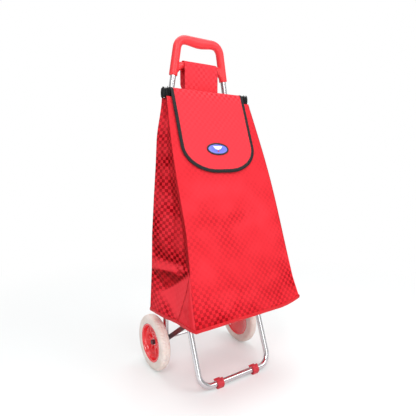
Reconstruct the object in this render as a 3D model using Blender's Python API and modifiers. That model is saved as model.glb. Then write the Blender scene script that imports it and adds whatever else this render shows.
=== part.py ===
"""Two-wheeled shopping trolley: a steel frame with a moulded handle, a sewn fabric bag with a flap,
two wheels on a thin axle and a braced U-shaped stand in front. Metres, +Z up, front faces -Y.
The origin is on the floor, under the middle of the trolley."""
import bpy
import bmesh
from math import atan2, cos, hypot, pi, radians, sin, tan
from mathutils import Matrix, Vector

# ---- driving dimensions -------------------------------------------------------------------------
GAP = 0.0003                 # air left between two pieces that touch

WHEEL_R = 0.0806             # rolling radius
TYRE_W = 0.028
TYRE_SEAT_R = 0.0558         # radius where the tyre sits on the hub
TYRE_EDGE_R = 0.011          # rounding of the tyre's shoulders
HUB_WALL = 0.0035
HUB_RIBS = 8
HUB_BOSS_R = 0.0115
HUB_BOSS_L = 0.0125
HUB_BOSS_SETBACK = 0.0006    # inner end of the boss, inside the tyre's inner side
HUB_WEB_DEPTH = 0.003        # inner face of the web from the boss's inner end
HUB_EDGE_SETBACK = 0.001
HUB_DRAFT = 0.002
RIB_W = 0.0024
RIB_BOSS_H = 0.0065
RIB_EDGE_H = 0.003
WHEEL_MID_X = 0.1595         # middle of each wheel from the trolley's middle

AXLE_R = 0.003
BUSH_R = 0.0065
WASHER_R = 0.0085
WASHER_T = 0.001
CAP_R = 0.0070
CAP_CROWN = 0.0018
CAP_EDGE_R = 0.003
AXLE_STUB = 0.006            # axle left outside the outer washer

TUBE_R = 0.008
TUBE_WALL = 0.0012
FRAME_X = 0.120              # back tubes and stand legs, from the trolley's middle
FRAME_FOOT = 0.013           # tube left below the axle
FRAME_LEAN = 0.0078          # forward lean of the frame, metres per metre of height
FLARE_BEND_R = 0.080

BAR_T = 0.002                # flat cross bars between the back tubes
BAR_H = 0.022
LOW_BAR_RISE = 0.045         # above the bag's lower back edge
HIGH_BAR_DROP = 0.054        # below the bend of the back tubes
BAR_END = 0.009              # length past the tubes' middles

RIVET_R = 0.0025
RIVET_HEAD_R = 0.0048
RIVET_HEAD_T = 0.0018
DRILL = 0.02                 # reach of a drilled hole each side of its start

HANDLE_RISE = 0.068          # lower end of the handle's sockets above the bag
HANDLE_H = 0.113
HANDLE_SOCKET_X = 0.0873
HANDLE_SLOPE = 0.17          # how fast the tubes and handle legs close in, per metre of height
HANDLE_R = 0.0120
HANDLE_BEND_R = 0.030
SOCKET_DEPTH = 0.050
CROSSBAR_RISE = 0.0295       # above the sockets' lower ends
CROSSBAR_R = 0.0100
GRIP_BELLY_H = 0.0165        # half height of the thick middle of the grip
GRIP_BELLY_L = 0.046
SCREW_R = 0.0016             # screws that hold the tubes in the sockets
SCREW_HEAD_R = 0.0032
SCREW_HEAD_T = 0.0016
SCREW_RISE = 0.014           # above the sockets' lower ends
SCREW_INSIDE = 0.004         # length inside the tube's outer face
ARCH_LIFT = 0.004            # lower tip of the arch above the sockets' lower ends
ARCH_ROOT = 0.006
ARCH_SPAN = 0.026

STAND_REACH = 0.190          # bottom bar of the stand, ahead of the axle
STAND_TILT = radians(20.5)   # legs lean back from the vertical
STAND_BEND_R = 0.036
KNEE_BEND_R = 0.022
KNEE_RIVET_DROP = 0.012      # rivet below the knee, along the leg
ARM_TUCK = 0.0012            # how near the arms' ends come to the back tubes
BRACKET_REACH = 0.018
BRACKET_RISE = 0.0015
CLIP_WALL = 0.003
CLIP_W = 0.020
CLIP_X = 0.062
CLIP_LIP = 0.004
BRACE_W = 0.014
BRACE_T = 0.0025

BAG_REACH = 0.252            # lower front edge of the bag, ahead of the axle
BAG_WHEEL_SPACE = 0.0238     # lower back edge of the bag above the wheels
BAG_RISE = 0.020             # lower front edge above the back one
BAG_HEIGHT = 0.573           # its front, from the lower edge to the mouth's band
BAG_TOP_REACH = 0.056        # upper front edge of the bag, ahead of the axle
BAG_BOTTOM_HALF = 0.1745
BAG_TOP_HALF = 0.1405
MOUTH_R = 0.006              # rounding of the band's corners
PANEL_EASE = 0.0005
FABRIC_T = 0.002
BOARD_T = 0.003
RIM_H = 0.022                # gathered band around the mouth

FLAP_HALF = 0.1142
FLAP_T = 0.002
FLAP_LENGTH = 0.230          # from the ridge to the flap's lower edge, inside the binding
FLAP_CORNER_R = 0.045
FLAP_BOW = 0.006             # how much lower its edge is in the middle
FLAP_RISE = 0.0023           # its middle above the mouth's band
SEAM_SPACE = 0.0147          # its back seam ahead of the back tubes' middle
RIDGE_SPACE = 0.0012         # left each side of the ridge, so that the flap can bend there
BINDING_W = 0.0093
BINDING_T = 0.003
PAD_T = 0.0012               # touch-and-close pads under the flap
PAD_W = 0.060
PAD_H = 0.025
PAD_RISE = 0.012             # pads above the flap's lower edge
LOOP_HALF = 0.0570
LOOP_T = 0.0016
LOOP_SEWN = 0.055            # length of the strap sewn to the bag's back
LOOP_FALL = 0.051            # where it starts to slant to the bag, below the crossbar
BADGE_W = 0.073
BADGE_H = 0.0345
BADGE_T = 0.0020
BADGE_RIM = 0.0030
BADGE_X = -0.008             # it sits a little to the left
BADGE_DROP = 0.173           # middle of the badge below the ridge

# ---- places worked out from them ----------------------------------------------------------------
AXLE_Z = WHEEL_R
BAG_BACK_Z = 2 * WHEEL_R + BAG_WHEEL_SPACE
BAG_FRONT_Z = BAG_BACK_Z + BAG_RISE
BAG_TOP_Z = BAG_FRONT_Z + BAG_HEIGHT
HANDLE_SOCKET_Z = BAG_TOP_Z + HANDLE_RISE
HANDLE_TOP_Z = HANDLE_SOCKET_Z + HANDLE_H
CROSSBAR_Z = HANDLE_SOCKET_Z + CROSSBAR_RISE
FLARE_Z = HANDLE_SOCKET_Z - (FRAME_X - HANDLE_SOCKET_X) / HANDLE_SLOPE
AXLE_Y = (BAG_REACH - WHEEL_R) / 2
SCREW_Z = HANDLE_SOCKET_Z + SCREW_RISE
SIDES = (("left", -1), ("right", 1))
PLATE_X = FRAME_X - TUBE_R - GAP - BRACE_T / 2      # flat plates inside the tubes
BAR_CENTRE_Z = TUBE_R + CLIP_WALL + GAP             # the stand's bottom bar
BAR_Y = AXLE_Y - STAND_REACH
BAG_SLOPE = (BAG_REACH - BAG_TOP_REACH) / (BAG_TOP_Z - BAG_FRONT_Z)
BAG_LEAN = atan2(BAG_SLOPE, 1)
FLAP_STANDOFF = 2 * PAD_T + 3 * GAP + FLAP_T / 2    # bag's front face to the flap's middle
HINGE_Z = BAG_TOP_Z + RIM_H + FLAP_RISE
WHEEL_IN = WHEEL_MID_X - TYRE_W / 2
BOSS_IN = WHEEL_IN + HUB_BOSS_SETBACK
BOSS_OUT = BOSS_IN + HUB_BOSS_L

COLLECTION = "shopping_trolley"
RIVET_STEEL = ((0.55, 0.55, 0.56), 0.3, 1.0)
FABRIC_FRONT = ((0.95, 0.06, 0.09), 0.55)
FABRIC_SIDE = ((0.50, 0.015, 0.03), 0.6)
BLACK_TAPE = ((0.03, 0.035, 0.035), 0.7)
TO_SIDE = {-1: (radians(90), 0, radians(-90)), 1: (radians(90), 0, radians(90))}


def frame_y(z):
    """Middle of the back tubes at height z."""
    return AXLE_Y - FRAME_LEAN * (z - AXLE_Z)


def bag_back_y(z):
    """Outer face of the bag's back, in front of the cross bars."""
    return frame_y(z) - TUBE_R - 2 * GAP - BAR_T


def bag_front_y(z):
    return AXLE_Y - BAG_REACH + BAG_SLOPE * (z - BAG_FRONT_Z)


def bag_half(z):
    share = (z - BAG_FRONT_Z) / (BAG_TOP_Z - BAG_FRONT_Z)
    return BAG_BOTTOM_HALF + (BAG_TOP_HALF - BAG_BOTTOM_HALF) * share


def frame_x(z):
    """Middle of a back tube from the trolley's middle at height z."""
    return min(FRAME_X, HANDLE_SOCKET_X + HANDLE_SLOPE * (HANDLE_SOCKET_Z - z))


RIDGE_Y = bag_front_y(HINGE_Z) - FLAP_STANDOFF / cos(BAG_LEAN)
FLAP_SEAM_Y = frame_y(HINGE_Z) - SEAM_SPACE
LEG_FOOT = Vector((0, BAR_Y, BAR_CENTRE_Z))
LEG_UP = Vector((0, sin(STAND_TILT), cos(STAND_TILT)))
ARM_BACK = Vector((0, bag_back_y(BAG_BACK_Z) + ARM_TUCK, BAG_BACK_Z - TUBE_R - 2 * GAP))
ARM_FRONT = Vector((0, AXLE_Y - BAG_REACH, BAG_FRONT_Z - TUBE_R - 2 * GAP))


def knee_point():
    """Where the line of the legs meets the line of the arms under the bag."""
    along = (ARM_FRONT - ARM_BACK).normalized()
    rise = ARM_BACK - LEG_FOOT
    cross = LEG_UP.y * along.z - LEG_UP.z * along.y
    reach = (rise.y * along.z - rise.z * along.y) / cross
    return LEG_FOOT + LEG_UP * reach


KNEE = knee_point()
KNEE_RIVET = KNEE - LEG_UP * KNEE_RIVET_DROP


# ---- tools for making pieces --------------------------------------------------------------------
def clear_scene():
    for old in list(bpy.data.objects):
        bpy.data.objects.remove(old, do_unlink=True)


def new_collection(name):
    collection = bpy.data.collections.new(name)
    bpy.context.scene.collection.children.link(collection)
    return collection


def material(name, colour, roughness, metallic=0.0):
    mat = bpy.data.materials.get(name) or bpy.data.materials.new(name)
    mat.use_nodes = True
    shader = mat.node_tree.nodes["Principled BSDF"]
    shader.inputs["Base Color"].default_value = (*colour, 1)
    shader.inputs["Roughness"].default_value = roughness
    shader.inputs["Metallic"].default_value = metallic
    return mat


def add(name, data, finish, parent=None, location=(0, 0, 0), rotation=(0, 0, 0)):
    obj = bpy.data.objects.new(name, data)
    parts.objects.link(obj)
    obj.location = location
    obj.rotation_euler = rotation
    if finish:
        data.materials.append(material(name + "_finish", *finish))
    if parent:
        obj.parent = parent
        obj.location = Vector(location) - parent.location
    return obj


def cutter(obj):
    parts.objects.unlink(obj)
    cutters.objects.link(obj)
    obj.hide_render = True
    obj.display_type = "WIRE"
    return obj


def combine(obj, other, operation="DIFFERENCE"):
    boolean = obj.modifiers.new(operation.lower(), "BOOLEAN")
    boolean.operation = operation
    boolean.object = cutter(other)
    return obj


def smooth(obj, angle=35):
    obj.data.shade_smooth()
    obj.data.set_sharp_from_angle(angle=radians(angle))
    return obj


def rounded(points, radius, steps=5):
    """A path with an arc of the given radius in place of each inner corner."""
    path = [Vector(points[0])]
    for before, corner, after in zip(points, points[1:], points[2:]):
        corner = Vector(corner)
        come = (Vector(before) - corner).normalized()
        go = (Vector(after) - corner).normalized()
        half = come.angle(go) / 2
        set_back = radius / tan(half)
        centre = corner + (come + go).normalized() * (radius / sin(half))
        first = corner + come * set_back - centre
        last = corner + go * set_back - centre
        turn = first.angle(last)
        for i in range(steps + 1):
            share = i / steps
            point = (first * sin((1 - share) * turn) + last * sin(share * turn)) / sin(turn)
            path.append(centre + point)
    path.append(Vector(points[-1]))
    return path


def tube_curve(name, path, radius, finish=None, parent=None, caps=True, resolution=2):
    curve = bpy.data.curves.new(name, "CURVE")
    curve.dimensions = "3D"
    curve.bevel_depth = radius
    curve.bevel_resolution = resolution
    curve.use_fill_caps = caps
    spline = curve.splines.new("POLY")
    spline.points.add(len(path) - 1)
    for point, place in zip(spline.points, path):
        point.co = (*place, 1)
    return add(name, curve, finish, parent)


def as_mesh(obj):
    """The same piece as a mesh with welded caps, so that it can be cut and joined."""
    bpy.context.view_layer.update()
    graph = bpy.context.evaluated_depsgraph_get()
    mesh = bpy.data.meshes.new_from_object(obj.evaluated_get(graph))
    work = bmesh.new()
    work.from_mesh(mesh)
    bmesh.ops.remove_doubles(work, verts=work.verts, dist=0.00001)
    bmesh.ops.recalc_face_normals(work, faces=work.faces)
    work.to_mesh(mesh)
    work.free()
    name = obj.name
    place = obj.matrix_world.copy()
    parent = obj.parent
    curve = obj.data
    bpy.data.objects.remove(obj)
    bpy.data.curves.remove(curve)
    new = bpy.data.objects.new(name, mesh)
    parts.objects.link(new)
    new.matrix_world = place
    if parent:
        new.parent = parent
        new.matrix_parent_inverse = parent.matrix_world.inverted()
    return new


def solid_rod(name, path, radius, finish=None, resolution=2):
    return smooth(as_mesh(tube_curve(name, path, radius, finish, resolution=resolution)))


def hollow_tube(name, path, radius, wall, finish):
    """An open-ended tube, its wall inside the given radius."""
    obj = as_mesh(tube_curve(name, path, radius, finish, caps=False, resolution=2))
    shell = obj.modifiers.new("wall", "SOLIDIFY")
    shell.thickness = wall
    shell.offset = -1
    shell.use_rim = True
    return smooth(obj)


def turned(name, profile, finish=None, parent=None, location=(0, 0, 0), rotation=(0, 0, 0),
           steps=32, closed=True):
    """A profile of (radius, height) points, turned about local Z."""
    area = sum(a[0] * b[1] - b[0] * a[1] for a, b in zip(profile, profile[1:] + profile[:1]))
    ordered = profile if area < 0 or not closed else profile[::-1]
    mesh = bpy.data.meshes.new(name)
    count = len(ordered)
    edges = [(i, i + 1) for i in range(count - 1)]
    if closed:
        edges.append((count - 1, 0))
    mesh.from_pydata([(r, 0, z) for r, z in ordered], edges, [])
    obj = add(name, mesh, finish, parent, location, rotation)
    screw = obj.modifiers.new("turn", "SCREW")
    screw.axis = "Z"
    screw.steps = steps
    screw.render_steps = steps
    screw.use_merge_vertices = True
    screw.merge_threshold = 0.00001
    screw.use_smooth_shade = True
    return obj


def plate(name, outlines, thickness, finish=None, parent=None, location=(0, 0, 0), rotation=(0, 0, 0)):
    """Flat outlines of (x, y) points, filled and given a thickness about local Z."""
    curve = bpy.data.curves.new(name, "CURVE")
    curve.dimensions = "2D"
    curve.fill_mode = "BOTH"
    curve.extrude = thickness / 2
    for outline in outlines:
        spline = curve.splines.new("POLY")
        spline.points.add(len(outline) - 1)
        for point, place in zip(spline.points, outline):
            point.co = (place[0], place[1], 0, 1)
        spline.use_cyclic_u = True
    return add(name, curve, finish, parent, location, rotation)


def arc(cx, cy, radius, start, end, steps=8):
    """Points on an arc, its angles in degrees."""
    turns = [radians(start + (end - start) * i / steps) for i in range(steps + 1)]
    return [(cx + radius * cos(t), cy + radius * sin(t)) for t in turns]


def slab(name, corners, thickness, finish, parent=None, location=(0, 0, 0)):
    """A panel of even thickness behind four corners, given in order around its outer face."""
    mesh = bpy.data.meshes.new(name)
    work = bmesh.new()
    face = work.faces.new([work.verts.new(Vector(c) - Vector(location)) for c in corners])
    face.normal_update()
    work.to_mesh(mesh)
    work.free()
    obj = add(name, mesh, finish, parent, location)
    shell = obj.modifiers.new("thickness", "SOLIDIFY")
    shell.thickness = thickness
    shell.offset = -1
    return obj


# ---- wheels and axle ----------------------------------------------------------------------------
def tyre(side, sign, parent):
    outer = WHEEL_R - TYRE_EDGE_R
    flank = TYRE_W / 2 - TYRE_EDGE_R
    profile = [(TYRE_SEAT_R, TYRE_W / 2)]
    profile += arc(outer, flank, TYRE_EDGE_R, 90, 0, 5)
    profile += arc(outer, -flank, TYRE_EDGE_R, 0, -90, 5)
    profile.append((TYRE_SEAT_R, -TYRE_W / 2))
    place = (sign * WHEEL_MID_X, AXLE_Y, AXLE_Z)
    turned(side + "_tyre", profile, ((0.75, 0.63, 0.56), 0.75), parent, place, TO_SIDE[sign], 48)


def hub(side, sign, parent):
    seat = TYRE_SEAT_R - GAP
    web_in = BOSS_IN - WHEEL_MID_X + HUB_WEB_DEPTH
    web_out = web_in + HUB_WALL
    edge = TYRE_W / 2 - HUB_EDGE_SETBACK
    bore = BUSH_R + GAP
    boss_in = BOSS_IN - WHEEL_MID_X
    boss_out = BOSS_OUT - WHEEL_MID_X
    profile = [
        (seat, edge), (seat, -edge), (seat - HUB_WALL, -edge), (seat - HUB_WALL - HUB_DRAFT, web_in),
        (HUB_BOSS_R, web_in), (HUB_BOSS_R, boss_in), (bore, boss_in), (bore, boss_out),
        (HUB_BOSS_R - HUB_DRAFT / 2, boss_out), (HUB_BOSS_R, web_out),
        (seat - HUB_WALL - 2 * HUB_DRAFT, web_out),
        (seat - HUB_WALL, edge),
    ]
    place = (sign * WHEEL_MID_X, AXLE_Y, AXLE_Z)
    obj = turned(side + "_hub", profile, ((0.78, 0.012, 0.022), 0.35), parent, place, TO_SIDE[sign], 48)
    combine(obj, hub_ribs(side, sign, web_out), "UNION")


def hub_ribs(side, sign, web_out):
    """The radial ribs inside the dish, as one set of wedges."""
    mesh = bpy.data.meshes.new(side + "_hub_ribs")
    work = bmesh.new()
    inner = HUB_BOSS_R - HUB_DRAFT / 2
    outer = TYRE_SEAT_R - 2 * HUB_WALL
    for i in range(HUB_RIBS):
        made = bmesh.ops.create_cube(work, size=1)["verts"]
        for v in made:
            low = v.co.z < 0
            near = v.co.x < 0
            v.co.x = inner if near else outer
            v.co.y *= RIB_W
            v.co.z = web_out - HUB_WALL / 3 if low else web_out + (RIB_BOSS_H if near else RIB_EDGE_H)
        turn = Matrix.Rotation(2 * pi * i / HUB_RIBS, 3, "Z")
        bmesh.ops.rotate(work, verts=made, cent=(0, 0, 0), matrix=turn)
    work.to_mesh(mesh)
    work.free()
    return add(side + "_hub_rib_set", mesh, None, None, (sign * WHEEL_MID_X, AXLE_Y, AXLE_Z), TO_SIDE[sign])


def sleeve(name, sign, inner, outer, start, end, finish, parent=None, steps=24):
    """A turned sleeve on the axle line, from start to end outwards from the trolley's middle."""
    profile = [(outer, end), (outer, start), (inner, start), (inner, end)]
    turned(name, profile, finish, parent, (0, AXLE_Y, AXLE_Z), TO_SIDE[sign], steps)


def axle_end():
    return BOSS_OUT + 3 * GAP + WASHER_T + AXLE_STUB


def axle():
    reach = axle_end()
    path = [(-reach, AXLE_Y, AXLE_Z), (0, AXLE_Y, AXLE_Z), (reach, AXLE_Y, AXLE_Z)]
    obj = solid_rod("axle", path, AXLE_R)
    obj.data.materials.append(material("axle_finish", (0.62, 0.62, 0.63), 0.25, 1.0))


def axle_cap(side, sign):
    """Domed push-on cap, blind, over the end of the axle."""
    start = BOSS_OUT + 2 * GAP + WASHER_T
    bore = AXLE_R + GAP
    floor = axle_end() + GAP
    top = floor + CAP_CROWN
    profile = [(0, top)] + arc(CAP_R - CAP_EDGE_R, top - CAP_EDGE_R, CAP_EDGE_R, 90, 0, 4)
    profile += [(CAP_R, start), (bore, start), (bore, floor), (0, floor)]
    turned(side + "_axle_cap", profile, ((0.10, 0.10, 0.11), 0.4, 0.6), None,
           (0, AXLE_Y, AXLE_Z), TO_SIDE[sign], 24, closed=False)


def wheel(side, sign):
    spin = bpy.data.objects.new(side + "_wheel_spin", None)
    spin.location = (sign * WHEEL_MID_X, AXLE_Y, AXLE_Z)
    parts.objects.link(spin)
    tyre(side, sign, spin)
    hub(side, sign, spin)
    bore = AXLE_R + GAP
    boss_in = BOSS_IN - WHEEL_MID_X
    boss_out = BOSS_OUT - WHEEL_MID_X
    turned(side + "_hub_bush", [(BUSH_R, boss_out), (BUSH_R, boss_in), (bore, boss_in), (bore, boss_out)],
           ((0.80, 0.80, 0.78), 0.5), spin, spin.location, TO_SIDE[sign], 24)
    steel = ((0.62, 0.62, 0.63), 0.3, 1.0)
    spacer_in = FRAME_X + TUBE_R + GAP
    washer_in = BOSS_IN - GAP - WASHER_T
    sleeve(side + "_spacer", sign, bore, BUSH_R, spacer_in, washer_in - GAP, steel)
    sleeve(side + "_inner_washer", sign, bore, WASHER_R, washer_in, washer_in + WASHER_T, steel)
    sleeve(side + "_outer_washer", sign, bore, WASHER_R, BOSS_OUT + GAP, BOSS_OUT + GAP + WASHER_T, steel)
    axle_cap(side, sign)


# ---- frame --------------------------------------------------------------------------------------
def pin_cutter(name, radius, start, end):
    return solid_rod(name, [start, (Vector(start) + Vector(end)) / 2, end], radius)


def tube_point(sign, z):
    return Vector((sign * frame_x(z), frame_y(z), z))


def tube_top_z():
    return HANDLE_SOCKET_Z + SOCKET_DEPTH


def bar_levels():
    return (("lower", BAG_BACK_Z + LOW_BAR_RISE), ("upper", FLARE_Z - HIGH_BAR_DROP))


def frame_tube(side, sign):
    foot = Vector((sign * FRAME_X, frame_y(AXLE_Z - FRAME_FOOT), AXLE_Z - FRAME_FOOT))
    path = rounded([foot, tube_point(sign, FLARE_Z), tube_point(sign, tube_top_z())], FLARE_BEND_R, 6)
    obj = hollow_tube(side + "_frame_tube", path, TUBE_R, TUBE_WALL, None)
    obj.data.materials.append(material(side + "_tube_finish", (0.66, 0.66, 0.68), 0.22, 1.0))
    reach = DRILL
    combine(obj, pin_cutter(side + "_axle_hole", AXLE_R + GAP,
                            (sign * (FRAME_X - reach), AXLE_Y, AXLE_Z),
                            (sign * (FRAME_X + reach), AXLE_Y, AXLE_Z)))
    for level, z in bar_levels():
        y = frame_y(z)
        combine(obj, pin_cutter(side + "_" + level + "_bar_hole", RIVET_R + GAP,
                                (sign * FRAME_X, y - reach, z), (sign * FRAME_X, y + reach, z)))
    rivet = bracket_rivet_points()[0]
    combine(obj, pin_cutter(side + "_bracket_hole", RIVET_R + GAP,
                            (sign * (FRAME_X - reach), rivet.y, rivet.z),
                            (sign * (FRAME_X + reach), rivet.y, rivet.z)))
    screw = screw_point(sign)
    combine(obj, pin_cutter(side + "_screw_tube_hole", SCREW_R + GAP, screw, screw + Vector((0, reach, 0))))


def cross_bar(level, z):
    """A flat bar across the front of both back tubes, with a rivet hole at each end."""
    half = FRAME_X + BAR_END
    outline = [(-half, -BAR_H / 2), (half, -BAR_H / 2), (half, BAR_H / 2), (-half, BAR_H / 2)]
    holes = [arc(s * FRAME_X, 0, RIVET_R + GAP, 0, 337.5, 15) for s in (-1, 1)]
    y = frame_y(z) - TUBE_R - GAP - BAR_T / 2
    plate(level + "_cross_bar", [outline] + holes, BAR_T, ((0.60, 0.60, 0.62), 0.3, 1.0),
          None, (0, y, z), (radians(90), 0, 0))


def pin(name, sign, start, grip):
    """A rivet across the trolley, with a domed head at each end of its grip."""
    head = RIVET_HEAD_R
    profile = [(0, grip + RIVET_HEAD_T), (head * 0.6, grip + RIVET_HEAD_T * 0.8), (head, grip),
               (RIVET_R, grip), (RIVET_R, 0), (head, 0), (head * 0.6, -RIVET_HEAD_T * 0.8),
               (0, -RIVET_HEAD_T)]
    turned(name, profile, RIVET_STEEL, None, start, TO_SIDE[sign], 16, closed=False)


def cross_bar_rivet(side, sign, level, z):
    """Domed behind the tube, and flush in front, where the bag lies on the bar."""
    front = frame_y(z) - TUBE_R - GAP - BAR_T
    grip = 2 * TUBE_R + BAR_T + 2 * GAP
    head = RIVET_HEAD_R
    profile = [(0, grip + RIVET_HEAD_T), (head * 0.6, grip + RIVET_HEAD_T * 0.8), (head, grip),
               (RIVET_R, grip), (RIVET_R, 0), (0, 0)]
    turned(side + "_" + level + "_rivet", profile, RIVET_STEEL, None,
           (sign * FRAME_X, front, z), (radians(-90), 0, 0), 16, closed=False)


# ---- handle -------------------------------------------------------------------------------------
def screw_point(sign):
    return tube_point(sign, SCREW_Z)


def handle():
    """The legs and grip as one bent bar, with a thick middle, a crossbar and an arch at each end of it."""
    top = HANDLE_TOP_Z - HANDLE_R
    y = frame_y(CROSSBAR_Z)
    shoulder = HANDLE_SOCKET_X - HANDLE_SLOPE * (top - HANDLE_SOCKET_Z)
    corners = [(-HANDLE_SOCKET_X, frame_y(HANDLE_SOCKET_Z), HANDLE_SOCKET_Z), (-shoulder, y, top),
               (shoulder, y, top), (HANDLE_SOCKET_X, frame_y(HANDLE_SOCKET_Z), HANDLE_SOCKET_Z)]
    obj = solid_rod("handle", rounded(corners, HANDLE_BEND_R, 6), HANDLE_R)
    obj.data.materials.append(material("handle_finish", (1.0, 0.09, 0.09), 0.45))
    combine(obj, grip_belly(y, top), "UNION")
    leg = frame_x(CROSSBAR_Z) - 0.002
    bar = [(x, y, CROSSBAR_Z) for x in (-leg, 0, leg)]
    combine(obj, solid_rod("handle_crossbar", bar, CROSSBAR_R), "UNION")
    for side, sign in SIDES:
        bore = [tube_point(sign, HANDLE_SOCKET_Z - DRILL / 2), tube_point(sign, SCREW_Z),
                tube_point(sign, tube_top_z() + GAP)]
        combine(obj, handle_arch(side, sign, y), "UNION")
        combine(obj, solid_rod(side + "_socket", bore, TUBE_R + GAP, resolution=2))
        start = screw_point(sign)
        hole_end = start + Vector((0, DRILL, 0))
        combine(obj, pin_cutter(side + "_screw_hole", SCREW_R + GAP, start, hole_end))
        seat = start + Vector((0, HANDLE_R - SCREW_HEAD_T, 0))
        combine(obj, pin_cutter(side + "_screw_seat", SCREW_HEAD_R + GAP, seat, hole_end))
    return obj


def grip_belly(y, top):
    """The fuller middle of the grip, which hangs below the bar."""
    mesh = bpy.data.meshes.new("grip_belly")
    work = bmesh.new()
    bmesh.ops.create_uvsphere(work, u_segments=16, v_segments=12, radius=1)
    for v in work.verts:
        v.co = Vector((v.co.z * GRIP_BELLY_L, v.co.y * HANDLE_R * 1.02, v.co.x * GRIP_BELLY_H))
    bmesh.ops.recalc_face_normals(work, faces=work.faces)
    work.to_mesh(mesh)
    work.free()
    return add("grip_belly", mesh, None, None, (0, y, top + HANDLE_R - GRIP_BELLY_H - 0.0004))


def handle_arch(side, sign, y):
    """The web between the crossbar's end and the leg, hollowed by an arc underneath."""
    leg_low = HANDLE_SOCKET_X - HANDLE_R * 0.7
    leg_high = frame_x(CROSSBAR_Z) - HANDLE_R * 0.7
    low = HANDLE_SOCKET_Z + ARCH_LIFT
    inner = leg_high - ARCH_SPAN
    root = ARCH_ROOT
    drop = CROSSBAR_Z - low
    outline = [(sign * leg_low, low - CROSSBAR_Z), (sign * (leg_high + ARCH_LIFT), root)]
    outline.append((sign * inner, root))
    for turn in (0, pi / 8, pi / 4, 3 * pi / 8):
        x = inner + (leg_low - inner) * sin(turn)
        outline.append((sign * x, (drop - root) * cos(turn) - drop))
    flat = plate(side + "_handle_arch", [outline], 2 * CROSSBAR_R * 0.8, None, None,
                 (0, y, CROSSBAR_Z), (radians(90), 0, 0))
    return as_mesh(flat)


def handle_screw(side, sign):
    start = screw_point(sign)
    head = HANDLE_R - SCREW_HEAD_T + GAP
    tip = TUBE_R - SCREW_INSIDE
    profile = [(0, head + SCREW_HEAD_T), (SCREW_HEAD_R * 0.7, head + SCREW_HEAD_T),
               (SCREW_HEAD_R, head + SCREW_HEAD_T / 3), (SCREW_HEAD_R, head), (SCREW_R, head),
               (SCREW_R, tip + SCREW_R * 0.6), (0, tip)]
    turned(side + "_handle_screw", profile, ((0.5, 0.5, 0.5), 0.3, 1.0), None, start,
           (radians(-90), 0, 0), 16, closed=False)


# ---- stand --------------------------------------------------------------------------------------
def stand_path(x):
    """Half of the stand's tube at distance x from the middle: arm end, knee, foot corner."""
    return [Vector((x, ARM_BACK.y, ARM_BACK.z)), Vector((x, KNEE.y, KNEE.z)),
            Vector((x, LEG_FOOT.y, LEG_FOOT.z))]


def stand_tube():
    left = stand_path(-FRAME_X)
    right = stand_path(FRAME_X)
    knee_arc = rounded(left, KNEE_BEND_R, 5)
    foot_arc = rounded([left[1], left[2], right[2], right[1]], STAND_BEND_R, 6)
    path = knee_arc[:-1] + foot_arc[1:-1] + [Vector((-p.x, p.y, p.z)) for p in knee_arc[-2::-1]]
    obj = hollow_tube("stand_tube", path, TUBE_R, TUBE_WALL, None)
    obj.data.materials.append(material("stand_finish", (0.66, 0.66, 0.68), 0.22, 1.0))
    reach = DRILL
    for side, sign in SIDES:
        for i, spot in enumerate((bracket_rivet_points()[1], KNEE_RIVET)):
            combine(obj, pin_cutter(side + "_stand_hole_" + str(i), RIVET_R + GAP,
                                    (sign * (FRAME_X - reach), spot.y, spot.z),
                                    (sign * (FRAME_X + reach), spot.y, spot.z)))


def bracket_rivet_points():
    """One rivet in the back tube and one in the stand's arm, on a level line."""
    z = ARM_BACK.z
    return (Vector((0, frame_y(z), z)), Vector((0, ARM_BACK.y - BRACKET_REACH, z + BRACKET_RISE)))


def link_outline(start, end, width, hole_a, hole_b):
    """A flat link with round ends about two points, and a hole at each."""
    along = (end - start).normalized()
    angle = atan2(along.z, along.y) * 180 / pi
    half = width / 2
    outline = arc(start.y, start.z, half, angle + 90, angle + 270, 8)
    outline += arc(end.y, end.z, half, angle - 90, angle + 90, 8)
    holes = [arc(start.y, start.z, hole_a, 0, 337.5, 15), arc(end.y, end.z, hole_b, 0, 337.5, 15)]
    return [outline] + holes


def stand_bracket(side, sign):
    back, front = bracket_rivet_points()
    outlines = link_outline(front, back, BRACE_W, RIVET_R + GAP, RIVET_R + GAP)
    plate(side + "_stand_bracket", outlines, BRACE_T, ((0.58, 0.58, 0.6), 0.3, 1.0), None,
          (sign * PLATE_X, 0, 0), TO_SIDE[1])


def brace(side, sign):
    start = Vector((0, AXLE_Y, AXLE_Z))
    outlines = link_outline(KNEE_RIVET, start, BRACE_W, RIVET_R + GAP, AXLE_R + GAP)
    plate(side + "_brace", outlines, BRACE_T, ((0.40, 0.38, 0.38), 0.3, 1.0), None,
          (sign * PLATE_X, 0, 0), TO_SIDE[1])


def stand_rivets(side, sign):
    grip = 2 * TUBE_R + BRACE_T + 3 * GAP
    start = FRAME_X - TUBE_R - 2 * GAP - BRACE_T
    names = ("_frame_pin", "_arm_pin", "_knee_pin")
    for name, spot in zip(names, (*bracket_rivet_points(), KNEE_RIVET)):
        pin(side + name, sign, (sign * start, spot.y, spot.z), grip)


def foot_clip(side, sign):
    """A plastic clip snapped round the bottom bar, open behind its top, with a flat sole and two lips."""
    inner = TUBE_R + GAP
    outer = inner + CLIP_WALL
    sole = -BAR_CENTRE_Z
    half_sole = outer * tan(radians(30))
    outline = [(-half_sole, sole), (half_sole, sole)]
    outline += arc(0, 0, outer, -25, 30, 4)
    outline += [(outer + CLIP_LIP / 2, outer * 0.75), (inner * cos(radians(38)), inner * sin(radians(38)))]
    outline += arc(0, 0, inner, 30, -265, 18)
    outline += [(-CLIP_LIP / 4, outer + CLIP_LIP), (-CLIP_LIP, outer + CLIP_LIP * 0.75)]
    outline += arc(0, 0, outer, 115, 205, 5)
    plate(side + "_foot_clip", [outline], CLIP_W, ((0.62, 0.02, 0.03), 0.5), None,
          (sign * CLIP_X, BAR_Y, BAR_CENTRE_Z), TO_SIDE[1])


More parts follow.
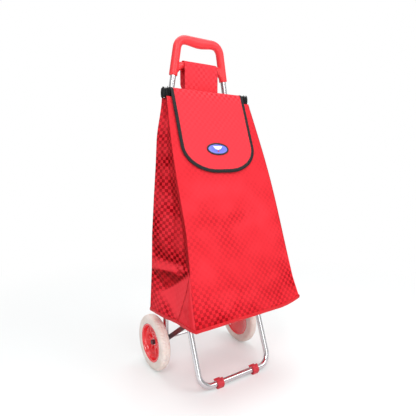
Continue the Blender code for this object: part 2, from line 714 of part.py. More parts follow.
# ---- bag ----------------------------------------------------------------------------------------
def bag_bottom_z(y):
    """Underside of the bag at depth y: it rises to the front."""
    back = bag_back_y(BAG_BACK_Z)
    front = AXLE_Y - BAG_REACH
    return BAG_BACK_Z + (BAG_FRONT_Z - BAG_BACK_Z) * (back - y) / (back - front)


def bag_front():
    top = BAG_TOP_Z - FABRIC_T * sin(BAG_LEAN) - GAP
    low = BAG_FRONT_Z
    slab("bag_front", [(-bag_half(low), bag_front_y(low), low), (bag_half(low), bag_front_y(low), low),
                       (bag_half(top), bag_front_y(top), top), (-bag_half(top), bag_front_y(top), top)],
         FABRIC_T, FABRIC_FRONT)


def bag_back():
    low = BAG_BACK_Z
    top = BAG_TOP_Z - GAP
    slab("bag_back", [(bag_half(low), bag_back_y(low), low), (-bag_half(low), bag_back_y(low), low),
                      (-bag_half(top), bag_back_y(top), top), (bag_half(top), bag_back_y(top), top)],
         FABRIC_T, FABRIC_FRONT)


def bag_side(side, sign):
    """A side panel between the front and the back."""
    inset = FABRIC_T + GAP
    lean_inset = inset / cos(BAG_LEAN) + FABRIC_T * sin(BAG_LEAN) * 0.2
    top = BAG_TOP_Z - GAP
    edge = [(bag_back_y(BAG_BACK_Z) - inset, BAG_BACK_Z), (bag_back_y(top) - inset, top),
            (bag_front_y(top) + lean_inset, top), (bag_front_y(BAG_FRONT_Z) + lean_inset, BAG_FRONT_Z)]
    corners = [(sign * bag_half(z), y, z) for y, z in edge]
    slab("bag_" + side + "_side", corners[::sign], FABRIC_T, FABRIC_SIDE)


def floor_corners(lift, inset):
    """Corners of a level in the bag, lifted off its underside and set in from its walls."""
    back = bag_back_y(BAG_BACK_Z) - inset
    front = bag_front_y(BAG_FRONT_Z + lift) + inset / cos(BAG_LEAN) + 2 * PANEL_EASE
    corners = []
    for y in (back, front):
        z = bag_bottom_z(y) + lift
        half = bag_half(z) - inset - PANEL_EASE
        corners.append([(-half, y, z), (half, y, z)])
    (bl, br), (fl, fr) = corners
    return [bl, br, fr, fl]


def bag_base():
    slab("bag_base", floor_corners(0, FABRIC_T + GAP), FABRIC_T, FABRIC_SIDE)


def base_board():
    slab("base_board", floor_corners(FABRIC_T + GAP, 2 * FABRIC_T), BOARD_T, ((0.12, 0.10, 0.09), 0.8))


def mouth_outline(inset):
    """The mouth's outline above the panels, rounded at its corners."""
    half = BAG_TOP_HALF - inset
    back = bag_back_y(BAG_TOP_Z + RIM_H) - inset
    front = bag_front_y(BAG_TOP_Z + RIM_H) + inset
    radius = MOUTH_R - inset
    outline = []
    for turn, x, y in ((0, half - radius, back - radius), (90, radius - half, back - radius),
                       (180, radius - half, front + radius), (270, half - radius, front + radius)):
        outline += arc(x, y, radius, turn, turn + 90, 4)
    return outline


def mouth_rim():
    height = RIM_H - 2 * GAP
    plate("mouth_rim", [mouth_outline(0), mouth_outline(FABRIC_T)], height, BLACK_TAPE, None,
          (0, 0, BAG_TOP_Z + RIM_H / 2))


def hanging_loop():
    """A wide strap from the bag's back, over the handle's crossbar and down to the flap's seam."""
    y = frame_y(CROSSBAR_Z)
    around = CROSSBAR_R + GAP + LOOP_T / 2
    low = BAG_TOP_Z - LOOP_SEWN
    top = BAG_TOP_Z + RIM_H * 0.8
    turn = BAG_TOP_Z - RIM_H / 4
    sewn = GAP + LOOP_T / 2
    over = arc(y, CROSSBAR_Z, around, 180, 0, 8)
    line = [(y - around, HINGE_Z + FLAP_T / 2 + 5 * GAP), (y - around, (HINGE_Z + CROSSBAR_Z) / 2)] + over
    line += [(y + around, CROSSBAR_Z - LOOP_FALL), (bag_back_y(BAG_TOP_Z) + sewn + 10 * GAP, top),
             (bag_back_y(turn) + sewn, turn), (bag_back_y(low) + sewn, low)]
    mesh = bpy.data.meshes.new("hanging_loop")
    work = bmesh.new()
    rows = [[work.verts.new((x, py, pz)) for py, pz in line] for x in (-LOOP_HALF, LOOP_HALF)]
    for i in range(len(line) - 1):
        work.faces.new((rows[0][i], rows[1][i], rows[1][i + 1], rows[0][i + 1]))
    bmesh.ops.recalc_face_normals(work, faces=work.faces)
    work.to_mesh(mesh)
    work.free()
    obj = add("hanging_loop", mesh, FABRIC_FRONT)
    shell = obj.modifiers.new("thickness", "SOLIDIFY")
    shell.thickness = LOOP_T
    shell.offset = 0


# ---- flap ---------------------------------------------------------------------------------------
def flap_empties():
    lift = bpy.data.objects.new("flap_lift", None)
    lift.location = (0, FLAP_SEAM_Y, HINGE_Z)
    unroll = bpy.data.objects.new("flap_unroll", None)
    unroll.parent = lift
    unroll.location = Vector((0, RIDGE_Y, HINGE_Z)) - lift.location
    for empty in (lift, unroll):
        parts.objects.link(empty)
    return lift, unroll


def strip(name, left, right, low_y, high_y, finish, parent):
    """A flat piece of the flap at the hinge's height, between two depths."""
    outline = [(left, low_y), (right, low_y), (right, high_y), (left, high_y)]
    plate(name, [outline], FLAP_T, finish, parent, (0, 0, HINGE_Z))


def flap_top(lift):
    back = FLAP_SEAM_Y - GAP
    front = RIDGE_Y + RIDGE_SPACE
    strip("flap_top", -FLAP_HALF, FLAP_HALF, front, back, FABRIC_FRONT, lift)
    for side, sign in SIDES:
        left, right = sorted((sign * (FLAP_HALF + GAP), sign * (FLAP_HALF + BINDING_W)))
        strip(side + "_flap_tape", left, right, front, back, BLACK_TAPE, lift)


def flap_outline(grow):
    """The hanging part of the flap below the ridge, as (x, distance along it), grown by an edge."""
    half = FLAP_HALF + grow
    radius = FLAP_CORNER_R + grow
    low = -FLAP_LENGTH - grow
    corner = arc(half - radius, low + radius + FLAP_BOW, radius, 0, -75, 8)
    return corner + [(0, low)] + [(-x, z) for x, z in corner[::-1]]


def on_flap(name, outlines, thickness, finish, unroll, out):
    """A flat piece in the flap's plane, its middle set out from the flap's middle by a distance."""
    normal = Vector((0, -cos(BAG_LEAN), sin(BAG_LEAN)))
    place = Vector((0, RIDGE_Y, HINGE_Z)) + normal * out
    obj = plate(name, outlines, thickness, finish, None, place, (radians(90) - BAG_LEAN, 0, 0))
    bpy.context.view_layer.update()
    obj.parent = unroll
    obj.matrix_parent_inverse = unroll.matrix_world.inverted()
    return obj


def flap_front(unroll):
    body = flap_outline(0)
    top = -RIDGE_SPACE
    outline = [(FLAP_HALF, top)] + body + [(-FLAP_HALF, top)]
    on_flap("flap_front", [outline], FLAP_T, FABRIC_FRONT, unroll, 0)
    inner = flap_outline(GAP)
    outer = flap_outline(BINDING_W)
    ring = [(FLAP_HALF + GAP, top)] + inner + [(-FLAP_HALF - GAP, top), (-FLAP_HALF - BINDING_W, top)]
    ring += outer[::-1] + [(FLAP_HALF + BINDING_W, top)]
    on_flap("flap_binding", [ring], BINDING_T, BLACK_TAPE, unroll, 0)


def ellipse(width, height, cx, cz, steps=32):
    turns = [2 * pi * i / steps for i in range(steps)]
    return [(cx + width / 2 * cos(t), cz + height / 2 * sin(t)) for t in turns]


def badge(unroll):
    out = FLAP_T / 2 + GAP + BADGE_T / 2
    ring = [ellipse(BADGE_W, BADGE_H, BADGE_X, -BADGE_DROP),
            ellipse(BADGE_W - 2 * BADGE_RIM, BADGE_H - 2 * BADGE_RIM, BADGE_X, -BADGE_DROP)]
    on_flap("badge_rim", ring, BADGE_T, ((0.02, 0.02, 0.02), 0.3), unroll, out)
    inner = 2 * (BADGE_RIM + GAP)
    face = [ellipse(BADGE_W - inner, BADGE_H - inner, BADGE_X, -BADGE_DROP)]
    on_flap("badge_face", face, BADGE_T * 0.8, ((0.10, 0.12, 0.55), 0.3), unroll, out - BADGE_T * 0.1)


def closure_pads(unroll):
    centre = -FLAP_LENGTH + PAD_H / 2 + PAD_RISE
    outline = [(-PAD_W / 2, centre - PAD_H / 2), (PAD_W / 2, centre - PAD_H / 2),
               (PAD_W / 2, centre + PAD_H / 2), (-PAD_W / 2, centre + PAD_H / 2)]
    flap_side = -(FLAP_T / 2 + GAP + PAD_T / 2)
    on_flap("flap_loop_pad", [outline], PAD_T, BLACK_TAPE, unroll, flap_side)
    fixed = on_flap("bag_hook_pad", [outline], PAD_T, BLACK_TAPE, unroll, flap_side - PAD_T - GAP)
    bpy.context.view_layer.update()
    place = fixed.matrix_world.copy()
    fixed.parent = None
    fixed.matrix_world = place


# ---- build --------------------------------------------------------------------------------------
def build():
    axle()
    handle()
    stand_tube()
    for level, z in bar_levels():
        cross_bar(level, z)
        for side, sign in SIDES:
            cross_bar_rivet(side, sign, level, z)
    for side, sign in SIDES:
        wheel(side, sign)
        frame_tube(side, sign)
        handle_screw(side, sign)
        stand_bracket(side, sign)
        brace(side, sign)
        stand_rivets(side, sign)
        foot_clip(side, sign)
        bag_side(side, sign)
    bag_front()
    bag_back()
    bag_base()
    base_board()
    mouth_rim()
    hanging_loop()
    lift, unroll = flap_empties()
    bpy.context.view_layer.update()
    flap_top(lift)
    flap_front(unroll)
    badge(unroll)
    closure_pads(unroll)


clear_scene()
parts = new_collection(COLLECTION)
cutters = new_collection(COLLECTION + "_cutters")
build()
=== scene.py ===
"""Looks of a two-wheeled shopping trolley: sewn jacquard bag with a bound flap, moulded handle,
chromed tubes, foam tyres on red moulded hubs. Metres, +Z up, the bag's front faces -Y."""
from math import atan2, cos, exp, pi, radians, sin, sqrt, tan
import bpy
import bmesh
from mathutils import Matrix, Vector, noise
from mathutils.bvhtree import BVHTree
from mathutils.geometry import delaunay_2d_cdt
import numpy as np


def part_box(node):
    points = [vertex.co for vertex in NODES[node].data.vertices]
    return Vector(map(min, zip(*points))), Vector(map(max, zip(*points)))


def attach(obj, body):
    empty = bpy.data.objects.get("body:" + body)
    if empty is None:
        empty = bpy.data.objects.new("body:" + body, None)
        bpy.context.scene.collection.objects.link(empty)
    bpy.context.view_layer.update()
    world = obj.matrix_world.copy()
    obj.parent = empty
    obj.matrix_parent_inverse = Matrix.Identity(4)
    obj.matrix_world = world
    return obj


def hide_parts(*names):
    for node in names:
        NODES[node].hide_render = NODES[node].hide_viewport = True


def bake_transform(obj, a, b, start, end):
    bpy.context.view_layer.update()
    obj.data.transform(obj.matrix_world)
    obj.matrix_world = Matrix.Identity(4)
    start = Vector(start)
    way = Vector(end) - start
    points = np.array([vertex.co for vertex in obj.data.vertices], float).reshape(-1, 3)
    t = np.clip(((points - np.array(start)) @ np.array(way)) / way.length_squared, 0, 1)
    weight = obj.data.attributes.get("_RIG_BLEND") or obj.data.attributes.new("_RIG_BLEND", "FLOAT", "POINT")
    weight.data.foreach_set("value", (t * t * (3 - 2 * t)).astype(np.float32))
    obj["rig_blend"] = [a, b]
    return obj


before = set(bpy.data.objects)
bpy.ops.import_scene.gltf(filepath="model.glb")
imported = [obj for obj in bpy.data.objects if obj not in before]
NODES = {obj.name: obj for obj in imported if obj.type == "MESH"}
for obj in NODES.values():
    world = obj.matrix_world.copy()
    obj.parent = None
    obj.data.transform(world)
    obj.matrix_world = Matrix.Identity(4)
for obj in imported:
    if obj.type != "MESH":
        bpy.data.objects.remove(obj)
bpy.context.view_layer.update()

SIDES = (("left", -1), ("right", 1))

# ---- sizes that the frame gives ----
def low_of(node):
    return Vector(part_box(node)[0])


def high_of(node):
    return Vector(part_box(node)[1])


def middle_of(node):
    return (low_of(node) + high_of(node)) / 2


AXLE = middle_of("axle")
WHEEL_R = (high_of("left_tyre").z - low_of("left_tyre").z) / 2
WHEEL_X = middle_of("right_tyre").x
TYRE_HALF = (high_of("right_tyre").x - low_of("right_tyre").x) / 2
HUB_R = (high_of("right_hub").z - low_of("right_hub").z) / 2
FRAME_X = high_of("right_frame_tube").x - 0.008
BAG_FRONT_LOW = Vector((high_of("bag_front").x, low_of("bag_front").y, low_of("bag_front").z))
BAG_BACK_Z = low_of("bag_back").z
BAG_TOP_Z = high_of("bag_back").z
BAG_TOP_FRONT_Y = high_of("bag_front").y - 0.002
HINGE_Z = middle_of("flap_top").z
SEAM_Y = high_of("flap_top").y
RIM_LOW = low_of("mouth_rim")
RIM_HIGH = high_of("mouth_rim")
CROSSBAR_Z = high_of("hanging_loop").z - 0.0119

# ---- sizes of its own ----
TUBE_R = 0.008
FRAME_LEAN = 0.0078
SOCKET_X = 0.0873             # where the back tubes enter the handle,
LEG_SLOPE = 0.17              # and how fast they come together above the bag
STAND_LEAN = radians(20.5)
CLOTH_T = 0.0012
FLAP_HALF = 0.1190
FLAP_DROP = 0.2353
FLAP_CORNER = (0.099, 0.071)  # half axes of the oval that rounds each lower corner
RIDGE_R = 0.009
TAPE_HALF_W = 0.0051
TAPE_HALF_T = 0.0016
CHECK = 0.0086                # side of one woven square
SIDE_CHECK = 1.45             # the side panels are cut across the cloth, where its checks are longer
BAG_SLOPE = (BAG_TOP_FRONT_Y - BAG_FRONT_LOW.y) / (BAG_TOP_Z - BAG_FRONT_LOW.z)
BAG_LEAN = atan2(BAG_SLOPE, 1)
BAG_TOP_HALF = 0.1405
FLAP_STANDOFF = 0.0043


def frame_y(z):
    return AXLE.y - FRAME_LEAN * (z - AXLE.z)


def bag_front_y(z):
    return BAG_FRONT_LOW.y + BAG_SLOPE * (z - BAG_FRONT_LOW.z)


def bag_back_y(z):
    return frame_y(z) - 0.0106


def bag_half(z):
    share = (z - BAG_FRONT_LOW.z) / (BAG_TOP_Z - BAG_FRONT_LOW.z)
    return BAG_FRONT_LOW.x + (BAG_TOP_HALF - BAG_FRONT_LOW.x) * share


RIDGE_Y = bag_front_y(HINGE_Z) - FLAP_STANDOFF / cos(BAG_LEAN)


# ---- materials ----
def linear(hex_code):
    """An sRGB hex colour as linear red, green, blue and alpha."""
    parts = [int(hex_code[i:i + 2], 16) / 255 for i in (0, 2, 4)]
    return [p / 12.92 if p <= 0.04045 else ((p + 0.055) / 1.055) ** 2.4 for p in parts] + [1.0]


def shaded(tone, level):
    """The linear colour of an sRGB hex tone, made darker or lighter."""
    return [min(1.0, level * c) for c in linear(tone)[:3]] + [1.0]


def add_node(tree, kind, settings=None, links=None):
    """Adds a node; settings are its properties or socket values, links the outputs it reads."""
    made = tree.nodes.new("ShaderNode" + kind)
    for key, value in (settings or {}).items():
        if isinstance(key, str) and hasattr(made, key):
            setattr(made, key, value)
        else:
            made.inputs[key].default_value = value
    for key, source in (links or {}).items():
        tree.links.new(source, made.inputs[key])
    return made


def join(tree, shader, sources):
    """Leads outputs to the shader's own sockets."""
    for key, source in sources.items():
        tree.links.new(source, shader.inputs[key])


def new_material(name, settings):
    """A Principled material with the values that are the same all over it."""
    mat = bpy.data.materials.new(name)
    mat.use_nodes = True
    shader = mat.node_tree.nodes["Principled BSDF"]
    for key, value in settings.items():
        shader.inputs[key].default_value = value
    return mat, mat.node_tree, shader


def jacquard(name, plain, dark, light):
    """Polyester jacquard, PVC backed: squares of warp satin beside squares of weft satin, drawn as a darker
    and a paler red. The squares are the weave's own pattern; the 'slack' value sets how far they part from
    the plain red, and where it shows or fades them follows the light, as painted sheen and shade. The 'turn'
    value paints shade and light into the colour: faces turned up and forward lighter, lower faces darker and
    a deeper red."""
    mat, tree, shader = new_material(name, {"IOR": 1.5, "Specular IOR Level": 0.02})
    place = add_node(tree, "TexCoord").outputs["UV"]
    wobble = add_node(tree, "TexNoise", {"Scale": 55.0, "Detail": 1.0}, {"Vector": place})
    drawn = add_node(tree, "VectorMath", {"operation": "MULTIPLY_ADD", 1: (0.0016, 0.0016, 0)}, {
        0: wobble.outputs["Color"], 2: place})
    squares = add_node(tree, "Mapping", {"Scale": (1 / CHECK, 1 / CHECK, 1)}, {
        "Vector": drawn.outputs[0]})
    check = add_node(tree, "TexChecker", {"Scale": 1.0}, {"Vector": squares.outputs[0]})
    thread_step = 0.0009     # drawn twice as coarse as real thread, so that it shows
    threads = []
    for direction in ("X", "Y"):
        threads.append(add_node(tree, "TexWave", {
            "bands_direction": direction, "Scale": 0.05 * 2 * pi / thread_step,
            "Distortion": 0.4, "Detail": 1.0}, {"Vector": place}).outputs["Fac"])
    weave = add_node(tree, "Mix", {"data_type": "FLOAT"}, {
        0: check.outputs["Fac"], 2: threads[0], 3: threads[1]})
    # the checks are the weave's own pattern; the 'slack' mask that sets where they show or fade follows the
    # light: painted sheen and shade
    slack = add_node(tree, "Attribute", {"attribute_name": "slack"}).outputs["Fac"]
    blotch = add_node(tree, "TexNoise", {"Scale": 16.0, "Detail": 3.0}, {"Vector": place})
    fade = add_node(tree, "MapRange", {
        "From Min": 0.38, "From Max": 0.62, "To Min": 0.45, "To Max": 1.1}, {"Value": blotch.outputs["Fac"]})
    amount = add_node(tree, "Math", {"operation": "MULTIPLY", "use_clamp": True}, {
        0: slack, 1: fade.outputs[0]})
    pair = add_node(tree, "Mix", {"data_type": "RGBA", 6: linear(dark), 7: linear(light)}, {
        0: check.outputs["Fac"]})
    tone = add_node(tree, "Mix", {"data_type": "RGBA", 6: linear(plain)}, {
        0: amount.outputs[0], 7: pair.outputs[2]})
    # painted shade and light: the 'turn' value scales the colour up where a fold faces up and forward, down
    # where it faces down, and deepens the red in the painted shade
    turned = add_node(tree, "Attribute", {"attribute_name": "turn"}).outputs["Fac"]
    satin = add_node(tree, "MapRange", {
        "From Min": -0.4, "From Max": 0.4, "To Min": 0.48, "To Max": 1.34}, {"Value": turned})
    depth = add_node(tree, "MapRange", {
        "From Min": -0.4, "From Max": 0.4, "To Min": 1.26, "To Max": 0.80}, {"Value": turned})
    painted_shade_deepened = add_node(tree, "Gamma", links={"Color": tone.outputs[2], "Gamma": depth.outputs[0]})
    painted_light_tone = add_node(tree, "VectorMath", {"operation": "SCALE"}, {
        0: painted_shade_deepened.outputs[0], "Scale": satin.outputs[0]})
    gloss = add_node(tree, "MapRange", {"To Min": 0.60, "To Max": 0.44}, {
        "Value": check.outputs["Fac"]})
    relief = add_node(tree, "Math", {"operation": "MULTIPLY_ADD", 1: 0.35}, {
        0: weave.outputs[0], 2: check.outputs["Fac"]})
    bump = add_node(tree, "Bump", {"Strength": 0.22, "Distance": 0.0003}, {
        "Height": relief.outputs[0]})
    join(tree, shader, {
        "Base Color": painted_light_tone.outputs[0], "Roughness": gloss.outputs[0], "Normal": bump.outputs[0]})
    return mat


def woven_tape(name, tone, rib, gloss):
    """Folded nylon binding tape: fine ribs across its length and a dull shine on the fold."""
    mat, tree, shader = new_material(name, {
        "IOR": 1.53, "Roughness": gloss, "Sheen Weight": 0.03, "Specular IOR Level": 0.25})
    place = add_node(tree, "TexCoord").outputs["UV"]
    ribs = add_node(tree, "TexWave", {
        "bands_direction": "X", "Scale": 0.05 * 2 * pi / rib, "Distortion": 0.6}, {"Vector": place})
    shade = add_node(tree, "TexNoise", {"Scale": 60.0, "Detail": 4.0}, {"Vector": place})
    level = add_node(tree, "Math", {"operation": "MULTIPLY"}, {
        0: ribs.outputs["Fac"], 1: shade.outputs["Fac"]})
    mix = add_node(tree, "Mix", {"data_type": "RGBA", 6: linear(tone), 7: shaded(tone, 1.9)}, {
        0: level.outputs[0]})
    bump = add_node(tree, "Bump", {"Strength": 0.5, "Distance": 0.0003}, {
        "Height": ribs.outputs["Fac"]})
    join(tree, shader, {"Base Color": mix.outputs[2], "Normal": bump.outputs[0]})
    return mat


def moulded(name, tone, roughness, grain, depth, worn="FFFFFF", wear=0.0, coat=0.0):
    """Injection-moulded plastic: a fine spark-eroded grain, cloudy colour, and paler where it rubs."""
    mat, tree, shader = new_material(name, {"IOR": 1.49, "Coat Weight": coat, "Coat Roughness": 0.12})
    place = add_node(tree, "TexCoord").outputs["Object"]
    cloud = add_node(tree, "TexNoise", {"Scale": 25.0, "Detail": 4.0}, {"Vector": place})
    fine = add_node(tree, "TexNoise", {"Scale": 1 / grain, "Detail": 2.0}, {"Vector": place})
    colour = add_node(tree, "Mix", {"data_type": "RGBA", 6: shaded(tone, 0.82), 7: linear(tone)}, {
        0: cloud.outputs["Fac"]})
    edges = add_node(tree, "NewGeometry").outputs["Pointiness"]
    rubbed = add_node(tree, "MapRange", {
        "From Min": 0.52, "From Max": 0.62, "To Max": wear}, {"Value": edges})
    paler = add_node(tree, "Mix", {"data_type": "RGBA", 7: linear(worn)}, {
        0: rubbed.outputs[0], 6: colour.outputs[2]})
    rough = add_node(tree, "MapRange", {
        "To Min": roughness - 0.06, "To Max": roughness + 0.08}, {"Value": fine.outputs["Fac"]})
    bump = add_node(tree, "Bump", {"Strength": 0.25, "Distance": depth}, {
        "Height": fine.outputs["Fac"]})
    join(tree, shader, {
        "Base Color": paler.outputs[2], "Roughness": rough.outputs[0], "Normal": bump.outputs[0]})
    return mat


def foam(name):
    """EVA foam tyre: closed cells leave a dry, faintly mottled skin that dirt settles in."""
    mat, tree, shader = new_material(name, {
        "IOR": 1.48, "Subsurface Weight": 0.08, "Subsurface Radius": (0.004, 0.003, 0.002)})
    place = add_node(tree, "TexCoord").outputs["Object"]
    cells = add_node(tree, "TexVoronoi", {"Scale": 1 / 0.0016}, {"Vector": place})
    cloud = add_node(tree, "TexNoise", {"Scale": 38.0, "Detail": 5.0}, {"Vector": place})
    colour = add_node(tree, "Mix", {
        "data_type": "RGBA", 6: linear("D8C6BC"), 7: linear("F8EEE8")}, {0: cloud.outputs["Fac"]})
    rough = add_node(tree, "MapRange", {"To Min": 0.62, "To Max": 0.82}, {
        "Value": cloud.outputs["Fac"]})
    bump = add_node(tree, "Bump", {"Strength": 0.3, "Distance": 0.0004}, {
        "Height": cells.outputs["Distance"]})
    join(tree, shader, {
        "Base Color": colour.outputs[2], "Roughness": rough.outputs[0], "Normal": bump.outputs[0]})
    return mat


def plated(name, tone, low_gloss, high_gloss, grain):
    """Plated steel: bright metal with a faint haze of wiping marks along it."""
    mat, tree, shader = new_material(name, {"Metallic": 1.0})
    place = add_node(tree, "TexCoord").outputs["Object"]
    drawn = add_node(tree, "Mapping", {"Scale": (1.0, 1.0, 0.06)}, {"Vector": place})
    marks = add_node(tree, "TexNoise", {"Scale": 1 / grain, "Detail": 4.0}, {
        "Vector": drawn.outputs[0]})
    cloud = add_node(tree, "TexNoise", {"Scale": 30.0, "Detail": 2.0}, {"Vector": place})
    colour = add_node(tree, "Mix", {"data_type": "RGBA", 6: shaded(tone, 0.88), 7: linear(tone)}, {
        0: cloud.outputs["Fac"]})
    rough = add_node(tree, "MapRange", {"To Min": low_gloss, "To Max": high_gloss}, {
        "Value": marks.outputs["Fac"]})
    bump = add_node(tree, "Bump", {"Strength": 0.08, "Distance": 0.0001}, {
        "Height": marks.outputs["Fac"]})
    join(tree, shader, {
        "Base Color": colour.outputs[2], "Roughness": rough.outputs[0], "Normal": bump.outputs[0]})
    return mat


def enamel_badge(name):
    """Printed badge under clear resin: a blue field that pales towards its rim."""
    mat, tree, shader = new_material(name, {
        "IOR": 1.5, "Roughness": 0.35, "Coat Weight": 0.2, "Coat Roughness": 0.05})
    place = add_node(tree, "TexCoord").outputs["UV"]
    centre = add_node(tree, "VectorMath", {"operation": "LENGTH"}, {0: place})
    share = add_node(tree, "MapRange", {"From Min": 0.2, "From Max": 1.0}, {
        "Value": centre.outputs["Value"]})
    colour = add_node(tree, "Mix", {
        "data_type": "RGBA", 6: linear("4852C4"), 7: linear("6A74EC")}, {0: share.outputs[0]})
    tree.links.new(colour.outputs[2], shader.inputs["Base Color"])
    return mat


RED_CLOTH = jacquard("polyester_jacquard_red", "EB3741", "84030C", "DC222E")
# a lighter copy of the red cloth for the flap and the strap: painted light; its pale squares paint the sheen
# on the flap's ridge
PAINTED_LIT_CLOTH = jacquard("polyester_jacquard_red_painted_lit", "EE424C", "D02430", "FA5C66")
HEM = woven_tape("polyester_hem_tape_red", "BC121D", 0.0015, 0.55)
LINING = woven_tape("pvc_backed_lining_grey", "8E8A88", 0.0012, 0.6)
BLACK_TAPE = woven_tape("nylon_binding_tape_black", "0C0E10", 0.0016, 0.5)
HOOK_TAPE = woven_tape("nylon_hook_tape_black", "1C1C1D", 0.0010, 0.8)
HANDLE_PLASTIC = moulded("polypropylene_handle_red", "F8343C", 0.42, 0.0009, 0.00012, "FF8080", 0.25)
CLIP_PLASTIC = moulded("polypropylene_clip_red", "C41A2A", 0.5, 0.0007, 0.0001, "E05060", 0.2)
HUB_PLASTIC = moulded("abs_hub_red", "F4202A", 0.24, 0.0008, 0.00006, "FF7070", 0.35, 0.6)
BUSH_PLASTIC = moulded("acetal_bush_white", "E8E6E0", 0.45, 0.0006, 0.00005)
TYRE_FOAM = foam("eva_foam_tyre_cream")
CHROME = plated("chromed_steel_tube", "DEDCDF", 0.14, 0.27, 0.0015)
ZINC = plated("zinc_plated_steel", "B9B6B8", 0.22, 0.42, 0.0012)
BRACE_STEEL = plated("zinc_plated_flat_bar", "9A9094", 0.25, 0.45, 0.0012)
DARK_STEEL = plated("blackened_spring_steel", "6A4A50", 0.45, 0.6, 0.0010)
BOARD = moulded("hardboard_base_brown", "5A4636", 0.8, 0.0015, 0.0003)
BADGE_BLACK = moulded("abs_badge_rim_black", "08090A", 0.36, 0.0005, 0.00003)
BADGE_FIELD = enamel_badge("resin_domed_badge_blue")
BADGE_WHITE = moulded("resin_badge_mark_white", "F2F3F8", 0.3, 0.0005, 0.00003)
BADGE_RED = moulded("resin_badge_mark_red", "E01830", 0.3, 0.0005, 0.00003)
THREAD = moulded("polyester_thread_charcoal", "3A3E40", 0.6, 0.0004, 0.00005)


# ---- tools for meshes ----
def new_object(name, data, mat):
    obj = bpy.data.objects.new(name, data)
    bpy.context.scene.collection.objects.link(obj)
    data.materials.append(mat)
    return obj


def fit(obj, body, slot, *nodes):
    """Hangs a piece on its body and in place of the nodes that it stands for. The slot argument is not used.
    A piece that bends with the flap has no one body."""
    if body:
        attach(obj, body)
    if nodes:
        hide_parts(*nodes)
    return obj


def cut_out(name, work, mat):
    """Turns the finished faces outwards and makes them a piece."""
    mesh = bpy.data.meshes.new(name)
    bmesh.ops.recalc_face_normals(work, faces=work.faces)
    work.to_mesh(mesh)
    work.free()
    return new_object(name, mesh, mat)


def close_up(obj, join=None):
    """Joins the corners where a surface meets itself, within a distance, or else fills its open ends."""
    work = bmesh.new()
    work.from_mesh(obj.data)
    if join:
        bmesh.ops.remove_doubles(work, verts=work.verts, dist=join)
    else:
        bmesh.ops.holes_fill(work, edges=[e for e in work.edges if e.is_boundary], sides=0)
    bmesh.ops.recalc_face_normals(work, faces=work.faces)
    work.to_mesh(obj.data)
    work.free()
    return obj


def bump_shape(x, centre, width):
    return exp(-((x - centre) / width) ** 2)


def drift(x, y, z):
    """Smooth unevenness from place to place, from about -1 to 1."""
    return noise.noise(Vector((x, y, z)))


def run_lengths(points):
    """How far along a line of points each one lies."""
    run = [0.0]
    for before, after in zip(points, points[1:]):
        run.append(run[-1] + (after - before).length)
    return run


def in_steps(points, step):
    """A line of points about a step apart, which stops just short of the last one."""
    fine = []
    for before, after in zip(points, points[1:]):
        steps = max(1, int((after - before).length / step))
        fine += [before.lerp(after, k / steps) for k in range(steps)]
    return fine


def woven_grid(name, rows, mat, uv, wrap=False, hang=None):
    """A smooth surface through rows of points. uv(i, j, k) gives the place on the cloth of corner (i, j)
    of a face that starts at column k, and hang's functions of (i, j) say how the cloth hangs there."""
    work = bmesh.new()
    layer = work.loops.layers.uv.new("UVMap")
    for kind in hang or ():
        work.verts.layers.float.new(kind)
    verts = [[work.verts.new(p) for p in row] for row in rows]
    for kind, value_at in (hang or {}).items():
        values = work.verts.layers.float[kind]
        for i, row in enumerate(verts):
            for j, v in enumerate(row):
                v[values] = value_at(i, j)
    width = len(rows[0])
    for i in range(len(rows) - 1):
        for j in range(width if wrap else width - 1):
            k = (j + 1) % width
            face = work.faces.new((verts[i][j], verts[i][k], verts[i + 1][k], verts[i + 1][j]))
            face.smooth = True
            for loop, corner in zip(face.loops, ((i, j), (i, j + 1), (i + 1, j + 1), (i + 1, j))):
                loop[layer].uv = uv(*corner, j)
    return cut_out(name, work, mat)


def thicken(obj, thickness, offset=0.0, inner=None):
    shell = obj.modifiers.new("cloth", "SOLIDIFY")
    shell.thickness = thickness
    shell.offset = offset
    if inner:
        obj.data.materials.append(inner)
        shell.material_offset = 1
    return obj


def sweep(name, stations, section, mat, closed_path=False):
    """A closed section carried along stations of (point, sideways, outwards)."""
    rows = [[p + a * side + b * out for a, b in section] for p, side, out in stations]
    if closed_path:
        rows.append(rows[0])
    run = run_lengths([row[0] for row in rows])
    width = sum((Vector(a) - Vector(b)).length for a, b in zip(section, section[1:] + section[:1]))
    obj = woven_grid(name, rows, mat, lambda i, j, _: (run[i], width * j / len(section)), wrap=True)
    return close_up(obj, 0.00001 if closed_path else None)


def oval(half_a, half_b, count, power=1.0):
    """A section between an oval and a rectangle; a lower power is squarer."""
    ring = []
    for i in range(count):
        t = 2 * pi * i / count
        c, s = cos(t), sin(t)
        ring.append((half_a * (abs(c) ** power) * (1 if c > 0 else -1),
                     half_b * (abs(s) ** power) * (1 if s > 0 else -1)))
    return ring


def rounded(points, radius, steps=8):
    """A path with an arc in place of each inner corner."""
    path = [Vector(points[0])]
    for before, corner, after in zip(points, points[1:], points[2:]):
        corner = Vector(corner)
        come = (Vector(before) - corner).normalized()
        go = (Vector(after) - corner).normalized()
        half = come.angle(go) / 2
        centre = corner + (come + go).normalized() * (radius / sin(half))
        first = corner + come * (radius / tan(half)) - centre
        last = corner + go * (radius / tan(half)) - centre
        turn = first.angle(last)
        for i in range(steps + 1):
            share = i / steps
            arm = (first * sin((1 - share) * turn) + last * sin(share * turn)) / sin(turn)
            path.append(centre + arm)
    path.append(Vector(points[-1]))
    return path


def drawn_tube(name, path, radius, mat):
    curve = bpy.data.curves.new(name, "CURVE")
    curve.dimensions = "3D"
    curve.bevel_depth = radius
    curve.bevel_resolution = 7
    curve.use_fill_caps = True
    spline = curve.splines.new("POLY")
    spline.points.add(len(path) - 1)
    for point, place in zip(spline.points, path):
        point.co = (*place, 1)
    return new_object(name, curve, mat)


# ---- bag ----
PANELS = (("left", 44), ("front", 60), ("right", 44), ("back", 36))


def smooth_share(value, low, high):
    t = min(1.0, max(0.0, (value - low) / (high - low)))
    return t * t * (3 - 2 * t)


